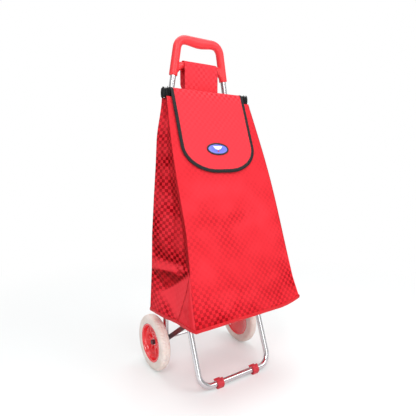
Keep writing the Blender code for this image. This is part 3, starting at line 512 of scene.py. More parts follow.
# Creases of a side panel: (share of the way from the front edge to the back, height, how far out).
# The bag folds flat for storing, and these are the gusset's pressed lines and the slack above them.
FOLDS = (
    (0, .17, 0), (.39, .17, -.001), (1, .17, 0), (0, .205, 0), (.388, .197, -.0022), (1, .185, 0),
    (.07, .26, .0030), (.08, .205, .0030), (.60, .19, .003), (.13, .2908, -.0030), (.26, .2435, -.0028),
    (0, .338, 0), (.88, .2445, -.001), (.08, .330, -.0055), (.22, .3146, -.0110), (.5, .285, -.0165),
    (.7, .2636, -.0115), (.97, .308, 0), (.75, .314, .002), (.5, .3215, -.0015), (.235, .329, -.0060),
    (.95, .345, -.004), (.70, .339, -.0085), (.45, .339, -.0108), (.26, .341, -.0108), (.13, .350, -.0085),
    (.16, .42, -.0085), (.16, .50, -.0070), (.15, .60, -.0040), (.4, .42, -.0075), (.75, .40, .001),
    (.4, .52, -.0105), (.75, .52, -.002), (.4, .62, -.005), (.75, .65, -.003), (.4, .72, -.010),
    (.75, .72, -.008), (0, .778, 0), (.5, .778, -.006), (1, .778, 0), (0, .82, 0), (.5, .82, -.006),
    (1, .82, 0), (0, .45, 0), (0, .55, 0), (0, .65, 0), (1, .30, 0), (1, .40, .003), (1, .50, .002),
    (1, .60, 0), (1, .70, 0))
CREASE_TOP_Z = 0.338          # where both pressed creases leave the front edge
CREASE_FOOT = 0.388           # the share at which the steeper one meets the bottom's turned edge,
CREASE_DROP = 0.141           # and how far below it has come down by there
FOLD_DEPTH = 0.22             # depth of the panel that a share of 1 stands for
FOLD_SPOTS = [Vector((share * FOLD_DEPTH, z)) for share, z, _ in FOLDS]
FOLD_FACES = delaunay_2d_cdt(FOLD_SPOTS, [], [], 0, 0.0001)
FOLD_SHEET = BVHTree.FromPolygons(
    [(FOLDS[start[0]][2], spot.x, spot.y) for spot, start in zip(FOLD_FACES[0], FOLD_FACES[3])],
    FOLD_FACES[2])


def side_fold(sign, share, z):
    """How far a side panel stands out, in metres: share is 0 at the front edge and 1 at the back."""
    total = 0.0
    shift = 0.010 * (sign + 1)
    for da, dz in ((0, 0), (0.0022, 0), (-0.0022, 0), (0, 0.0022), (0, -0.0022)):
        along = min(FOLD_DEPTH - 0.0001, max(0.0001, share * FOLD_DEPTH + da))
        spot = Vector((1, along, min(0.819, max(0.171, z + dz - shift * share))))
        hit = FOLD_SHEET.ray_cast(spot, Vector((-1, 0, 0)))[0]
        total += hit.x if hit else 0.0
    edge = min(1.0, share / 0.10) * min(1.0, (1 - share) / 0.08)
    y = bag_front_y(z) + FOLD_DEPTH * share
    ripple = drift(y * 16 + sign * 7, z * 11, sign * 3.1) * 0.0012
    ripple += drift(y * 45 + sign * 7, z * 30, sign * 5.1) * 0.0004
    return total / 5 * (0.92 - 0.12 * sign) + ripple * edge


def past_crease(share, z):
    """How far behind the crease that runs down from the front edge to the bottom, as a share."""
    return share - CREASE_FOOT * (CREASE_TOP_Z - z) / CREASE_DROP


def side_checks_and_sheen(share, z):
    """How strongly the checks show on a side panel. The squares are the weave's own, but where they show
    follows the light, as painted sheen and shade: they fade on the pressed triangles by the bottom, on the
    ridge over the flatter crease, on a strip behind the front edge and towards the mouth, and show strongly
    on the rest."""
    above = z - (CREASE_TOP_Z - 0.106 * share)
    front = past_crease(share, z)
    inside = z - (CREASE_TOP_Z - CREASE_DROP + 0.0966 * (share - CREASE_FOOT))
    # painted sheen: the checks fade on the facets that face the light
    sheen_facets = smooth_share(-above, 0.001, 0.006) * smooth_share(inside, -0.002, 0.022)
    sheen_facets = max(sheen_facets * smooth_share(front, -0.02, 0.02), smooth_share(-front, -0.01, 0.02) * (above < 0.003))
    over = z - (0.329 - 0.0286 * (share - 0.235))
    ridge = smooth_share(over, -0.003, 0.001) * smooth_share(share, 0.17, 0.26)
    ridge *= 1 - smooth_share(over, 0.005 + 0.008 * share, 0.014 + 0.028 * share)
    strip = (1 - smooth_share(share, 0.08, 0.17)) * smooth_share(z, 0.33, 0.35)
    strip *= 1 - smooth_share(z, 0.5, 0.62)
    upper = 0.30 * smooth_share(z, 0.58, 0.75)
    return max(0.03, 0.96 - max(sheen_facets * 0.93, ridge * 0.85, strip * 0.85) - upper)


def front_fold(x, z):
    """How far the front stands out: flat under the flap, a soft belly below it."""
    belly = 0.0035 * bump_shape(z, 0.42, 0.13) * (1 - (x / bag_half(z)) ** 2)
    hem = min(1.0, (z - BAG_FRONT_LOW.z) / 0.02)
    free = 1 / (1 + exp((z - 0.54) / 0.015))
    ripple = drift(x * 9, z * 7, 1.7) * 0.0020 + drift(x * 24, z * 20, 4.2) * 0.0006
    return (belly + ripple * hem) * free


def front_checks_and_sheen(x, z):
    """How strongly the checks show on the front. The squares are the weave's own; they are faint in its
    middle, where their fading is painted sheen, and show more near the bottom, its edges, the lower left
    corner, a random patch and a soft band, as painted shade.
    """
    low = 1 - smooth_share(z, 0.215, 0.36)
    corner = smooth_share(-x, 0.0, 0.13) * (1 - smooth_share(z, 0.23, 0.34))
    side = smooth_share(abs(x) / bag_half(z), 0.72, 1.0) * (1 - smooth_share(z, 0.30, 0.55))
    patch = smooth_share(drift(x * 8, z * 8, 2.2), 0.0, 0.6) * (1 - smooth_share(z, 0.4, 0.55))
    band = bump_shape(z, 0.455 + 0.10 * x, 0.016) * (1 - smooth_share(abs(x - 0.02) / 0.12, 0.6, 1.0))
    return 0.16 + 0.42 * low ** 1.2 + 0.16 * side + 0.24 * patch + 0.14 * corner + 0.20 * band


def edge_bow(sign, z):
    """The front edges aren't straight: one is drawn in above its crease, the other bows out."""
    if sign < 0:
        return -0.0080 * bump_shape(z, 0.425, 0.11) - 0.0030 * smooth_share(z, 0.66, BAG_TOP_Z)
    return 0.0150 * bump_shape(z, 0.56, 0.22)


def mouth_pull(z, share):
    """How far the elastic draws the mouth's back corners in."""
    return 0.011 * share * smooth_share(z, 0.66, BAG_TOP_Z)


def corner_lift(x):
    """The lower front edge rises to the right, most at its corner."""
    return -0.0015 + 0.022 * (x + 0.17) * 0.6 + 0.012 * max(0.0, (x - 0.095) / 0.075) ** 2


def bag_point(panel, s, t):
    """A place on the bag: s along a panel, from the back on the left side round to the back."""
    z_front = BAG_FRONT_LOW.z + t * (BAG_TOP_Z - BAG_FRONT_LOW.z)
    z_back = BAG_BACK_Z + t * (BAG_TOP_Z - BAG_BACK_Z)
    if panel in ("left", "right"):
        sign = -1 if panel == "left" else 1
        share = 1 - s if panel == "left" else s          # 0 at the front edge
        z = z_front + (z_back - z_front) * share
        y = bag_front_y(z_front) + (bag_back_y(z_back) - bag_front_y(z_front)) * share
        half = bag_half(z_front) + (bag_half(z_back) - bag_half(z_front)) * share
        half += edge_bow(sign, z) * (1 - share) ** 2 - mouth_pull(z, share)
        lift = corner_lift(sign * half) * (1 - share) * max(0.0, 1 - t * 8)
        return Vector((sign * (half + side_fold(sign, share, z)), y, z + lift))
    if panel == "front":
        z = z_front
        left = -bag_half(z) - edge_bow(-1, z)
        right = bag_half(z) + edge_bow(1, z)
        x = left + (right - left) * s
        lift = corner_lift(x) * max(0.0, 1 - t * 8)
        normal = Vector((0, -cos(BAG_LEAN), sin(BAG_LEAN)))
        return Vector((x, bag_front_y(z), z + lift)) + normal * front_fold(x, z)
    z = z_back
    x = (bag_half(z) - mouth_pull(z, 1)) * (1 - 2 * s)
    sag = 0.0015 * drift(x * 10, z * 8, 9.1)
    return Vector((x, bag_back_y(z) - 0.0004 - abs(sag), z))


def painted_fold_light(panel, s, p):
    """Painted shade and light for the cloth's colour, from how far the folds turn its face up and forward at
    a
    place: 0 where it hangs plain, above 0 painted lighter, below 0 painted darker. Below the pressed creases
    of a side panel the value is painted as given: the front triangle a little darker than the back one, a
    dark line of painted shade along the crease between them and a painted highlight along the front edge."""
    step = 0.003
    if panel in ("left", "right"):
        sign, share = (-1, 1 - s) if panel == "left" else (1, s)
        before, after = max(0.0, share - step / FOLD_DEPTH), min(1.0, share + step / FOLD_DEPTH)
        forward = (side_fold(sign, after, p.z) - side_fold(sign, before, p.z)) / (after - before) / FOLD_DEPTH
        rise = (side_fold(sign, share, p.z + step) - side_fold(sign, share, p.z - step)) / (2 * step)
        crease = past_crease(share, p.z)
        below = 1 - smooth_share(p.z, 0.325, 0.341)
        front_facet = 1 - smooth_share(crease, -0.012, 0.004)
        hem = 1 - smooth_share(share, 0.015, 0.05)
        # painted values below the creases: a dark line of painted shade along the crease, the front triangle
        # a little darker, a painted highlight along the front edge
        painted_facet_light = 0.04 - 0.30 * bump_shape(crease, 0, 0.014) - 0.07 * front_facet + 0.16 * hem
        return min((1 - below) * 1.3 * forward + below * painted_facet_light - rise, 0.15)
    if panel == "front":
        return -1.5 * (front_fold(p.x, p.z + step) - front_fold(p.x, p.z - step)) / (2 * step)
    return 0.0


def bag_cloth_place(panel, s, t):
    """Where that place lies on its own piece of cloth, so that the checks run square to it."""
    p = bag_point(panel, s, t)
    height = p.z / cos(BAG_LEAN) if panel == "front" else p.z
    along = p.x if panel in ("front", "back") else p.y / SIDE_CHECK
    shift = {"left": 0.31, "front": 0.0, "right": 0.57, "back": 0.9}[panel]
    return along + shift, height


def panel_steps(count):
    """Even steps across a panel, with one close to each edge to keep its fold crisp."""
    return [0.0, 0.012] + [i / count for i in range(1, count)] + [0.988]


def bag_shell():
    columns = [(panel, s) for panel, count in PANELS for s in panel_steps(count)]
    heights = [0.0, 0.004] + [i / 120 for i in range(1, 121)]
    rows = [[bag_point(panel, s, t) for panel, s in columns] for t in heights]

    def cloth_place(i, j, k):
        panel = columns[k][0]
        after, s = columns[j % len(columns)]
        return bag_cloth_place(panel, s if after == panel else 1.0, heights[i])

    # how strongly the checks show: the weave's pattern, placed as painted sheen and shade
    def check_sheen_at(i, j):
        (panel, s), p = columns[j], rows[i][j]
        if panel in ("left", "right"):
            return side_checks_and_sheen(1 - s if panel == "left" else s, p.z)
        return front_checks_and_sheen(p.x, p.z)

    # 'turn' carries the painted shade and light from the folds' slope
    obj = woven_grid("bag_shell", rows, RED_CLOTH, cloth_place, wrap=True, hang={
        "slack": check_sheen_at, "turn": lambda i, j: painted_fold_light(*columns[j], rows[i][j])})
    thicken(obj, CLOTH_T, -1, LINING)
    fit(obj, "root", "red_fabric", "bag_front", "bag_back", "bag_left_side", "bag_right_side")


def bottom_rows(count, side_gap, front_gap, rise):
    """Points across the bag's bottom, a share of it in from its edges and lifted."""
    rows = []
    for i in range(count + 1):
        share = front_gap + (1 - 2 * front_gap) * i / count
        across = [side_gap + (1 - 2 * side_gap) * j / count for j in range(count + 1)]
        rows.append([bag_point("front", s, 0).lerp(bag_point("back", 1 - s, 0), share) + Vector((0, 0, rise))
                     for s in across])
    return rows


def bag_floor():
    """The bottom panel, sewn in at the hem, flat on the stand's arms under the board."""
    rows = bottom_rows(30, 0, 0, 0.0010)
    obj = woven_grid("bag_floor", rows, RED_CLOTH, lambda i, j, _: (rows[i][j].x, rows[i][j].y))
    thicken(obj, CLOTH_T, 0)
    fit(obj, "root", "red_fabric", "bag_base")


def base_board():
    """The stiff board on the bottom panel. A corner of it is bent up by use, and the bag with it."""
    rows = bottom_rows(24, 0.014, 0.012, 0.0042)
    obj = woven_grid("floor_board", rows, BOARD, lambda i, j, _: (rows[i][j].x, rows[i][j].y))
    thicken(obj, 0.0026, 0)
    fit(obj, "root", "board", "base_board")


def outline_stations(points, out_of):
    """Stations around a closed outline: sideways is up, outwards is away from the middle."""
    stations = []
    count = len(points)
    for i, p in enumerate(points):
        run = (points[(i + 1) % count] - points[i - 1]).normalized()
        out = run.cross(Vector((0, 0, 1))).normalized()
        if out.dot(p - out_of) < 0:
            out = -out
        stations.append((p, out.cross(run).normalized(), out))
    return stations


def base_hem():
    """The turned hem around the bottom, with a lip where the floor panel is sewn to it."""
    loop = []
    for panel, count in PANELS:
        loop += [bag_point(panel, s, 0.006) for s in [i / count for i in range(count)]]
    middle = sum(loop, Vector()) / len(loop)
    stations = []
    for n, (p, side, out) in enumerate(outline_stations(loop, middle)):
        give = 1 + 0.10 * drift(n * 0.35, 0, 6)
        stations.append((p + out * 0.0002, side * give, out * give))
    obj = sweep("base_hem", stations, oval(0.0046, 0.0015, 14, 0.7), HEM, True)
    fit(obj, "root", "red_fabric")


def mouth_band():
    """Elasticated casing around the mouth: the tape is gathered into small uneven puckers."""
    half = RIM_HIGH.x + 0.0005
    back_half = half - mouth_pull(BAG_TOP_Z, 1)
    low_y, high_y = RIM_LOW.y, RIM_HIGH.y
    radius = 0.005
    step = 0.0012
    gathers = 104
    pucker = 0.0026
    right, left = half + edge_bow(1, BAG_TOP_Z) * 0.8 + 0.0025, -half - edge_bow(-1, BAG_TOP_Z)
    corners = [(right, low_y), (back_half, high_y), (-back_half, high_y), (left, low_y)]
    ring = []
    for (x, y), turn in zip(corners, (-90, 0, 90, 180)):
        cx = x - radius * (1 if x > 0 else -1)
        cy = y + radius * (1 if y == low_y else -1)
        ring += [Vector((cx + radius * cos(radians(turn + a)), cy + radius * sin(radians(turn + a)), 0))
                 for a in range(0, 91, 10)]
    fine = in_steps(ring + ring[:1], step)
    middle_z = (RIM_LOW.z + RIM_HIGH.z) / 2
    tall = (RIM_HIGH.z - RIM_LOW.z) / 2
    count = len(fine)
    section = oval(tall, 0.0019, 18, 0.75)
    rows = []
    for i in range(count + 1):
        p = fine[i % count]
        way = (fine[(i + 1) % count] - fine[i - 1 if i < count else -1]).normalized()
        out = Vector((way.y, -way.x, 0))
        if out.dot(p - Vector((0, (low_y + high_y) / 2, 0))) < 0:
            out = -out
        share = 2 * pi * i / count
        gather = sin(share * gathers + 7 * drift(share * 5, 0, 0))
        slack = 1 + 0.75 * drift(cos(share) * 14, sin(share) * 14, 2)
        pinch = pucker * gather * slack
        uncovered = 1.0 if abs(p.x) > FLAP_HALF + 0.002 else 0.3
        droop = 0.0012 * drift(cos(share) * 9, sin(share) * 9, 7)
        centre = Vector((p.x, p.y, middle_z + droop)) - out * 0.0010
        row = []
        for a, b in section:
            wave = pinch * (1 - 0.4 * (a / tall) ** 2)
            ragged = 0.50 * uncovered * max(0.0, gather) * slack if a > 0 else 0.14 * gather * slack
            row.append(centre + Vector((0, 0, a * (0.96 + ragged))) + out * (b * 1.25 + wave))
        rows.append(row)
    obj = woven_grid("mouth_band", rows[:-1] + [rows[0]], BLACK_TAPE,
                     lambda i, j, _: (i * step, 2 * tall * j / len(section)), wrap=True)
    close_up(obj, 0.00001)
    fit(obj, "root", "black_tape", "mouth_rim")


def hanging_strap():
    """The wide strap from the bag's back over the handle's crossbar, hemmed along both edges."""
    y = frame_y(CROSSBAR_Z)
    around = 0.0125
    low = BAG_TOP_Z - 0.055
    line = [Vector((0, y - around, HINGE_Z + 0.0015)), Vector((0, y - around, CROSSBAR_Z - 0.03))]
    line += [Vector((0, y - around * cos(a), CROSSBAR_Z + around * sin(a))) for a in
             [pi * k / 12 for k in range(13)]]
    line += [Vector((0, y + around, CROSSBAR_Z - 0.051)),
             Vector((0, bag_back_y(BAG_TOP_Z) + 0.0045, BAG_TOP_Z + 0.017)),
             Vector((0, bag_back_y(BAG_TOP_Z) + 0.0014, BAG_TOP_Z - 0.006)),
             Vector((0, bag_back_y(low) + 0.0012, low))]
    fine = in_steps(line, 0.004) + [line[-1]]
    run = run_lengths(fine)
    half = high_of("hanging_loop").x
    count = 36
    rows = []
    for i, p in enumerate(fine):
        way = (fine[min(i + 1, len(fine) - 1)] - fine[max(i - 1, 0)]).normalized()
        out = Vector((0, -way.z, way.y))
        row = []
        for j in range(count + 1):
            a = 2 * j / count - 1
            x = a * half * (1 - 0.010 * sin(pi * i / len(fine)))
            soft = 0.0007 * drift(x * 18, run[i] * 22, 3.3)
            hem = 0.0004 * bump_shape(abs(a), 0.93, 0.04)
            row.append(p + Vector((x, 0, 0)) + out * (soft + hem))
        rows.append(row)
    # the strap is cut from the lighter copy of the red cloth: painted light
    obj = woven_grid("hanging_strap", rows, PAINTED_LIT_CLOTH, lambda i, j, _: (rows[i][j].x + 0.4, run[i]),
                     hang={"slack": lambda i, j: 0.30 + 0.5 * drift(j * 0.09, run[i] * 14, 1.1)})
    thicken(obj, CLOTH_T + 0.0002, 0)
    fit(obj, "root", "red_fabric", "hanging_loop")


# ---- flap ----
FACE = Vector((0, -cos(BAG_LEAN), sin(BAG_LEAN)))        # out of the bag's front
DOWN = Vector((0, -sin(BAG_LEAN), -cos(BAG_LEAN)))       # down along it
TOP_RUN = SEAM_Y - RIDGE_Y
RIDGE_TURN = pi / 2 - BAG_LEAN
RIDGE_CUT = RIDGE_R * tan(RIDGE_TURN / 2)                # what the rounding takes off each side


def flap_line(run):
    """The point and outward normal on the flap's middle line, a distance from its back seam."""
    flat = TOP_RUN - RIDGE_CUT
    arc = RIDGE_R * RIDGE_TURN
    centre = Vector((0, SEAM_Y - flat, HINGE_Z - RIDGE_R))
    if run <= flat:
        return Vector((0, SEAM_Y - run, HINGE_Z)), Vector((0, 0, 1))
    if run <= flat + arc:
        turn = (run - flat) / RIDGE_R
        out = Vector((0, -sin(turn), cos(turn)))
        return centre + out * RIDGE_R, out
    start = Vector((0, RIDGE_Y, HINGE_Z)) + DOWN * RIDGE_CUT
    return start + DOWN * (run - flat - arc), FACE.copy()


FLAP_RUN = TOP_RUN - RIDGE_CUT + RIDGE_R * RIDGE_TURN + FLAP_DROP - RIDGE_CUT


def flap_end(x):
    """How far from the seam the flap reaches at a distance from its middle line."""
    wide, tall = FLAP_CORNER
    past = max(0.0, abs(x) - (FLAP_HALF - wide)) / wide
    return FLAP_RUN - tall * (1 - sqrt(max(0.0, 1 - past ** 2)))


def flap_place(x, run):
    """A place on the flap, with the slight lift of its free edge and the dip of its shoulders."""
    p, out = flap_line(run)
    share = run / FLAP_RUN
    soft = 0.0011 * drift(x * 13, run * 11, 5.5) * min(1.0, run / 0.03)
    lift = 0.0016 * max(0.0, share - 0.55) * (1 - (x / FLAP_HALF) ** 2)
    return p + Vector((x, 0, 0)) + out * (max(-0.0004, soft) + lift), out


def bend_with_flap(obj):
    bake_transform(obj, "flap_top", "flap_front", start=(0, RIDGE_Y + 0.010, HINGE_Z + 0.002),
             end=(0, RIDGE_Y - 0.003, HINGE_Z - 0.012))


def flap_sheet():
    columns = [FLAP_HALF * sin(pi / 2 * k / 34) for k in range(-34, 35)]
    count = 84
    rows = [[flap_place(x, flap_end(x) * i / count)[0] for x in columns] for i in range(count + 1)]
    ridge = TOP_RUN - RIDGE_CUT + RIDGE_R * 0.5

    # painted highlight: the pale checks show most along the flap's ridge, where the light glosses it
    def flap_checks_and_highlight(i, j):
        run = flap_end(columns[j]) * i / count
        return 0.05 + 0.55 * bump_shape(run, ridge, 0.022) + 0.06 * bump_shape(run, ridge + 0.10, 0.05)

    obj = woven_grid("flap", rows, PAINTED_LIT_CLOTH, lambda i, j, _: (
        columns[j] + 0.2, flap_end(columns[j]) * i / count), hang={"slack": flap_checks_and_highlight})
    thicken(obj, CLOTH_T, 0)
    bend_with_flap(obj)
    fit(obj, None, "red_fabric", "flap_top", "flap_front")


def flap_edge():
    """(x, run) pairs along the flap's edge, from the seam on the left round to the seam on the right."""
    wide, tall = FLAP_CORNER
    inner = FLAP_HALF - wide
    straight = FLAP_RUN - tall
    side = [(-FLAP_HALF, straight * i / 56) for i in range(56)]
    corner = [(-inner - wide * cos(radians(a)), straight + tall * sin(radians(a))) for a in range(0, 89, 4)]
    base = [(-inner * (1 - i / 22), FLAP_RUN) for i in range(23)]
    half = side + corner + base
    return half + [(-x, run) for x, run in half[-2::-1]]


def flap_binding():
    edge = flap_edge()
    stations = []
    for i, (x, run) in enumerate(edge):
        p, out = flap_place(x, run)
        before = flap_place(*edge[max(i - 1, 0)])[0]
        after = flap_place(*edge[min(i + 1, len(edge) - 1)])[0]
        way = (after - before).normalized()
        pucker = 1 + 0.05 * sin(i * 2.1) + 0.06 * drift(i * 0.21, 0, 0)
        stations.append((p, way.cross(out).normalized() * pucker, out * pucker))
    obj = sweep("flap_binding_tape", stations, oval(TAPE_HALF_W, TAPE_HALF_T, 16, 0.8), BLACK_TAPE)
    bend_with_flap(obj)
    fit(obj, None, "black_tape", "flap_binding", "left_flap_tape", "right_flap_tape")


def stitch_row(name, places, length, radius, mat):
    """Thread showing on the surface: one short rounded stitch at each place, along its way."""
    work = bmesh.new()
    for p, way, out in places:
        made = bmesh.ops.create_uvsphere(work, u_segments=6, v_segments=5, radius=1)["verts"]
        side = way.cross(out).normalized()
        for v in made:
            v.co = p + way * (v.co.z * length / 2) + side * (v.co.x * radius) + out * (v.co.y * radius)
    for face in work.faces:
        face.smooth = True
    return cut_out(name, work, mat)


def flap_stitching():
    """One row of stitches along the inner edge of the binding."""
    edge = flap_edge()
    points = [flap_place(x, run) for x, run in edge]
    step = 0.0036
    places = []
    gone = 0.0
    for (a, out), (b, _) in zip(points, points[1:]):
        way = b - a
        while gone < way.length:
            p = a + way.normalized() * gone
            inward = out.cross(way).normalized()
            if inward.dot(Vector((0, 0, 1)) * 0.3 - Vector((p.x, 0, 0)) * 10) < 0:
                inward = -inward
            places.append((p + inward * 0.0030 + out * 0.00135, way.normalized(), out))
            gone += step
        gone -= way.length
    obj = stitch_row("flap_stitches", places, 0.0026, 0.00032, THREAD)
    bend_with_flap(obj)
    fit(obj, None, "black_tape")


def badge():
    """A domed oval badge in a black rim, with a plain pale shield and a lozenge as its mark."""
    lowest, highest = low_of("badge_rim"), high_of("badge_rim")
    half_w = (highest.x - lowest.x) / 2
    half_h = (highest.z - lowest.z) / 2 / cos(BAG_LEAN)
    centre = (lowest + highest) / 2
    up = -DOWN
    side = Vector((1, 0, 0))
    stations = []
    for k in range(64):
        t = 2 * pi * k / 64
        p = centre + side * (half_w - 0.0022) * cos(t) + up * (half_h - 0.0022) * sin(t)
        out = (side * cos(t) / half_w + up * sin(t) / half_h).normalized()
        stations.append((p, out, FACE))
    rim = sweep("badge_ring", stations, oval(0.0024, 0.0013, 12), BADGE_BLACK, True)
    fit(rim, "flap_front", "badge_black", "badge_rim")
    rows = []
    for i in range(13):
        share = max(i / 12, 0.001)
        dome = 0.0004 * (1 - share ** 2)
        rows.append([centre + side * (half_w - 0.0034) * share * cos(2 * pi * k / 64)
                     + up * (half_h - 0.0034) * share * sin(2 * pi * k / 64) + FACE * (dome + 0.0001)
                     for k in range(64)])
    field = woven_grid("badge_field", rows, BADGE_FIELD, lambda i, j, _: (
        i / 12 * cos(2 * pi * j / 64), i / 12 * sin(2 * pi * j / 64)), wrap=True)
    thicken(field, 0.0010, -1)
    fit(field, "flap_front", "badge_blue", "badge_face")
    marks = (
        ([(-0.016, 0.0080), (0.016, 0.0080), (0.009, -0.0005), (0, -0.0030), (-0.009, -0.0005)], BADGE_WHITE),
        ([(-0.0035, -0.0062), (0, -0.0042), (0.0035, -0.0062), (0, -0.0086)], BADGE_RED))
    for n, (outline, mat) in enumerate(marks):
        spot = sum((a for a, _ in outline)) / len(outline), sum((b for _, b in outline)) / len(outline)
        rows = []
        for grow, rise in ((1.0, 0.0003), (1.0, 0.0009), (0.9, 0.0013)):
            rows.append([centre + side * (spot[0] + (a - spot[0]) * grow)
                         + up * (spot[1] + (b - spot[1]) * grow) + FACE * rise for a, b in outline])
        mark = woven_grid(f"badge_mark_{n}", rows, mat, lambda i, j, _: (j, i), wrap=True)
        fit(close_up(mark), "flap_front", "badge_blue")


# ---- handle ----
def moulded_handle():
    """One bent bar with a fuller grip, and a yoke between its legs, run together as in a mould."""
    low, high = low_of("handle").z, high_of("handle").z
    radius = 0.0120
    top = high - radius
    shoulder = SOCKET_X - LEG_SLOPE * (top - low)
    legs = [(-SOCKET_X, frame_y(low), low + 0.0006), (-shoulder, frame_y(top), top),
            (shoulder, frame_y(top), top), (SOCKET_X, frame_y(low), low + 0.0006)]
    yoke_x, yoke_y, yoke_z = 0.064, frame_y(CROSSBAR_Z), CROSSBAR_Z + 0.0005
    yoke = [(-SOCKET_X + 0.003, frame_y(low), low + 0.012), (-yoke_x, yoke_y, yoke_z),
            (yoke_x, yoke_y, yoke_z), (SOCKET_X - 0.003, frame_y(low), low + 0.012)]
    pieces = []
    for name, corners, bend in (("legs", legs, 0.030), ("yoke", yoke, 0.022)):
        path = rounded(corners, bend, 12)
        if name == "legs":
            turn = sum(1 for p in path if p.x < 0)
            grip = [path[turn - 1].lerp(path[turn], i / 26) for i in range(1, 26)]
            path = path[:turn] + grip + path[turn:]
        stations = []
        for i, p in enumerate(path):
            way = (path[min(i + 1, len(path) - 1)] - path[max(i - 1, 0)]).normalized()
            across = way.cross(Vector((0, 1, 0))).normalized()
            full = 0.0
            if name == "legs" and p.z > top - 0.002:
                full = 0.0008 + 0.0024 * cos(min(1.0, abs(p.x) / 0.050) * pi / 2) ** 2
            tall = radius + full if name == "legs" else 0.0098
            deep = radius if name == "legs" else 0.0090
            stations.append((p - Vector((0, 0, full)), across * tall, Vector((0, deep, 0))))
        pieces.append(sweep("handle_" + name, stations, oval(1, 1, 28), HANDLE_PLASTIC))
    obj = pieces[0]
    skin = bmesh.new()
    for piece in pieces:
        skin.from_mesh(piece.data)
    skin.to_mesh(obj.data)
    skin.free()
    bpy.data.objects.remove(pieces[1])
    obj.name = "handle_moulding"
    remesh = obj.modifiers.new("skin", "REMESH")
    remesh.mode = "VOXEL"
    remesh.voxel_size = 0.0013
    soft = obj.modifiers.new("soft", "SMOOTH")
    soft.iterations = 9
    soft.factor = 0.5
    bpy.context.view_layer.update()
    graph = bpy.context.evaluated_depsgraph_get()
    final = bpy.data.meshes.new_from_object(obj.evaluated_get(graph))
    obj.modifiers.clear()
    obj.data = final
    final.materials.clear()
    final.materials.append(HANDLE_PLASTIC)
    final.shade_smooth()
    fit(obj, "root", "red_handle_plastic", "handle")


# ---- tubes ----
def frame_tubes():
    """Straight up from the axle, then drawn together with one wide bend to meet the handle's sockets."""
    socket_z = low_of("handle").z
    bend = 0.080
    for side, sign in SIDES:
        node = side + "_frame_tube"
        top, bottom = high_of(node), low_of(node)
        flare_z = socket_z - (FRAME_X - SOCKET_X) / LEG_SLOPE
        top_x = SOCKET_X - LEG_SLOPE * (top.z - socket_z)
        path = rounded([
            (sign * FRAME_X, frame_y(bottom.z), bottom.z), (sign * FRAME_X, frame_y(flare_z), flare_z),
            (sign * top_x, frame_y(top.z), top.z - 0.002)], bend, 12)
        obj = drawn_tube(side + "_back_tube", path, TUBE_R, CHROME)
        fit(obj, "root", "chromed_tube", node)


def stand():
    """One tube bent to a foot, two legs and two arms that run back under the bag's bottom."""
    lowest = low_of("stand_tube")
    foot = Vector((0, lowest.y + TUBE_R, lowest.z + TUBE_R))
    up = Vector((0, sin(STAND_LEAN), cos(STAND_LEAN)))
    under = TUBE_R + 0.0006
    knee_bend, foot_bend = 0.022, 0.036
    back = Vector((0, bag_back_y(BAG_BACK_Z) + 0.0012, BAG_BACK_Z - under))
    front = Vector((0, BAG_FRONT_LOW.y, BAG_FRONT_LOW.z - under))
    along = (front - back).normalized()
    rise = back - foot
    reach = (rise.y * along.z - rise.z * along.y) / (up.y * along.z - up.z * along.y)
    knee = foot + up * reach
    left, right = ([Vector((x, p.y, p.z)) for p in (back, knee, foot)] for x in (-FRAME_X, FRAME_X))
    knee_arc = rounded(left, knee_bend, 10)
    foot_arc = rounded([left[1], left[2], right[2], right[1]], foot_bend, 12)
    path = knee_arc[:-1] + foot_arc[1:-1] + [Vector((-p.x, p.y, p.z)) for p in knee_arc[-2::-1]]
    obj = drawn_tube("stand_bent_tube", path, TUBE_R, CHROME)
    fit(obj, "root", "chromed_tube", "stand_tube")


# ---- wheels ----
def ring_surface(name, profile_at, around, mat, centre, sign):
    """A closed turned surface whose profile of (radius, out) may change with the angle."""
    rows = []
    for k in range(around):
        t = 2 * pi * k / around
        rows.append([centre + Vector((sign * out, r * cos(t), r * sin(t))) for r, out in profile_at(t)])
    rows.append(rows[0])
    step = 2 * pi * WHEEL_R / around
    obj = woven_grid(name, rows, mat, lambda i, j, _: (i * step, j * 0.002), wrap=True)
    close_up(obj, 0.000001)
    obj.data.set_sharp_from_angle(angle=radians(42))
    return obj


def tyre_profile(t):
    """Round-shouldered section, with shallow blocks pressed into the tread on both shoulders."""
    seat = HUB_R + 0.0003
    shoulder = 0.0105
    blocks = 44
    points = [(seat, TYRE_HALF * 0.93), (seat + 0.002, TYRE_HALF * 0.985), (seat + 0.006, TYRE_HALF)]
    steps = 30
    for k in range(steps + 1):
        turn = pi / 2 - pi * k / steps
        flank = TYRE_HALF - shoulder
        out = flank * (1 if turn > 0.05 else -1 if turn < -0.05 else 0) * min(1.0, abs(turn) / 0.35)
        out += shoulder * sin(turn)
        r = WHEEL_R - shoulder + shoulder * cos(turn)
        phase = t * blocks / (2 * pi) + (0.5 if out > 0 else 0.0)
        gap = min(phase % 1.0, 1 - phase % 1.0)
        across = abs(out) / TYRE_HALF
        groove = max(0.0, 1 - gap / 0.20) * (1 if 0.22 < across < 0.86 else 0)
        centre_line = 1 if across < 0.10 else 0
        swell = 0.0005 * drift(cos(t) * 9, sin(t) * 9, out * 160)
        depth = 0.0014 * max(groove, 0.7 * centre_line) - swell
        points.append((r - depth, out))
    points += [(seat + 0.006, -TYRE_HALF), (seat + 0.002, -TYRE_HALF * 0.985), (seat, -TYRE_HALF * 0.93)]
    return points


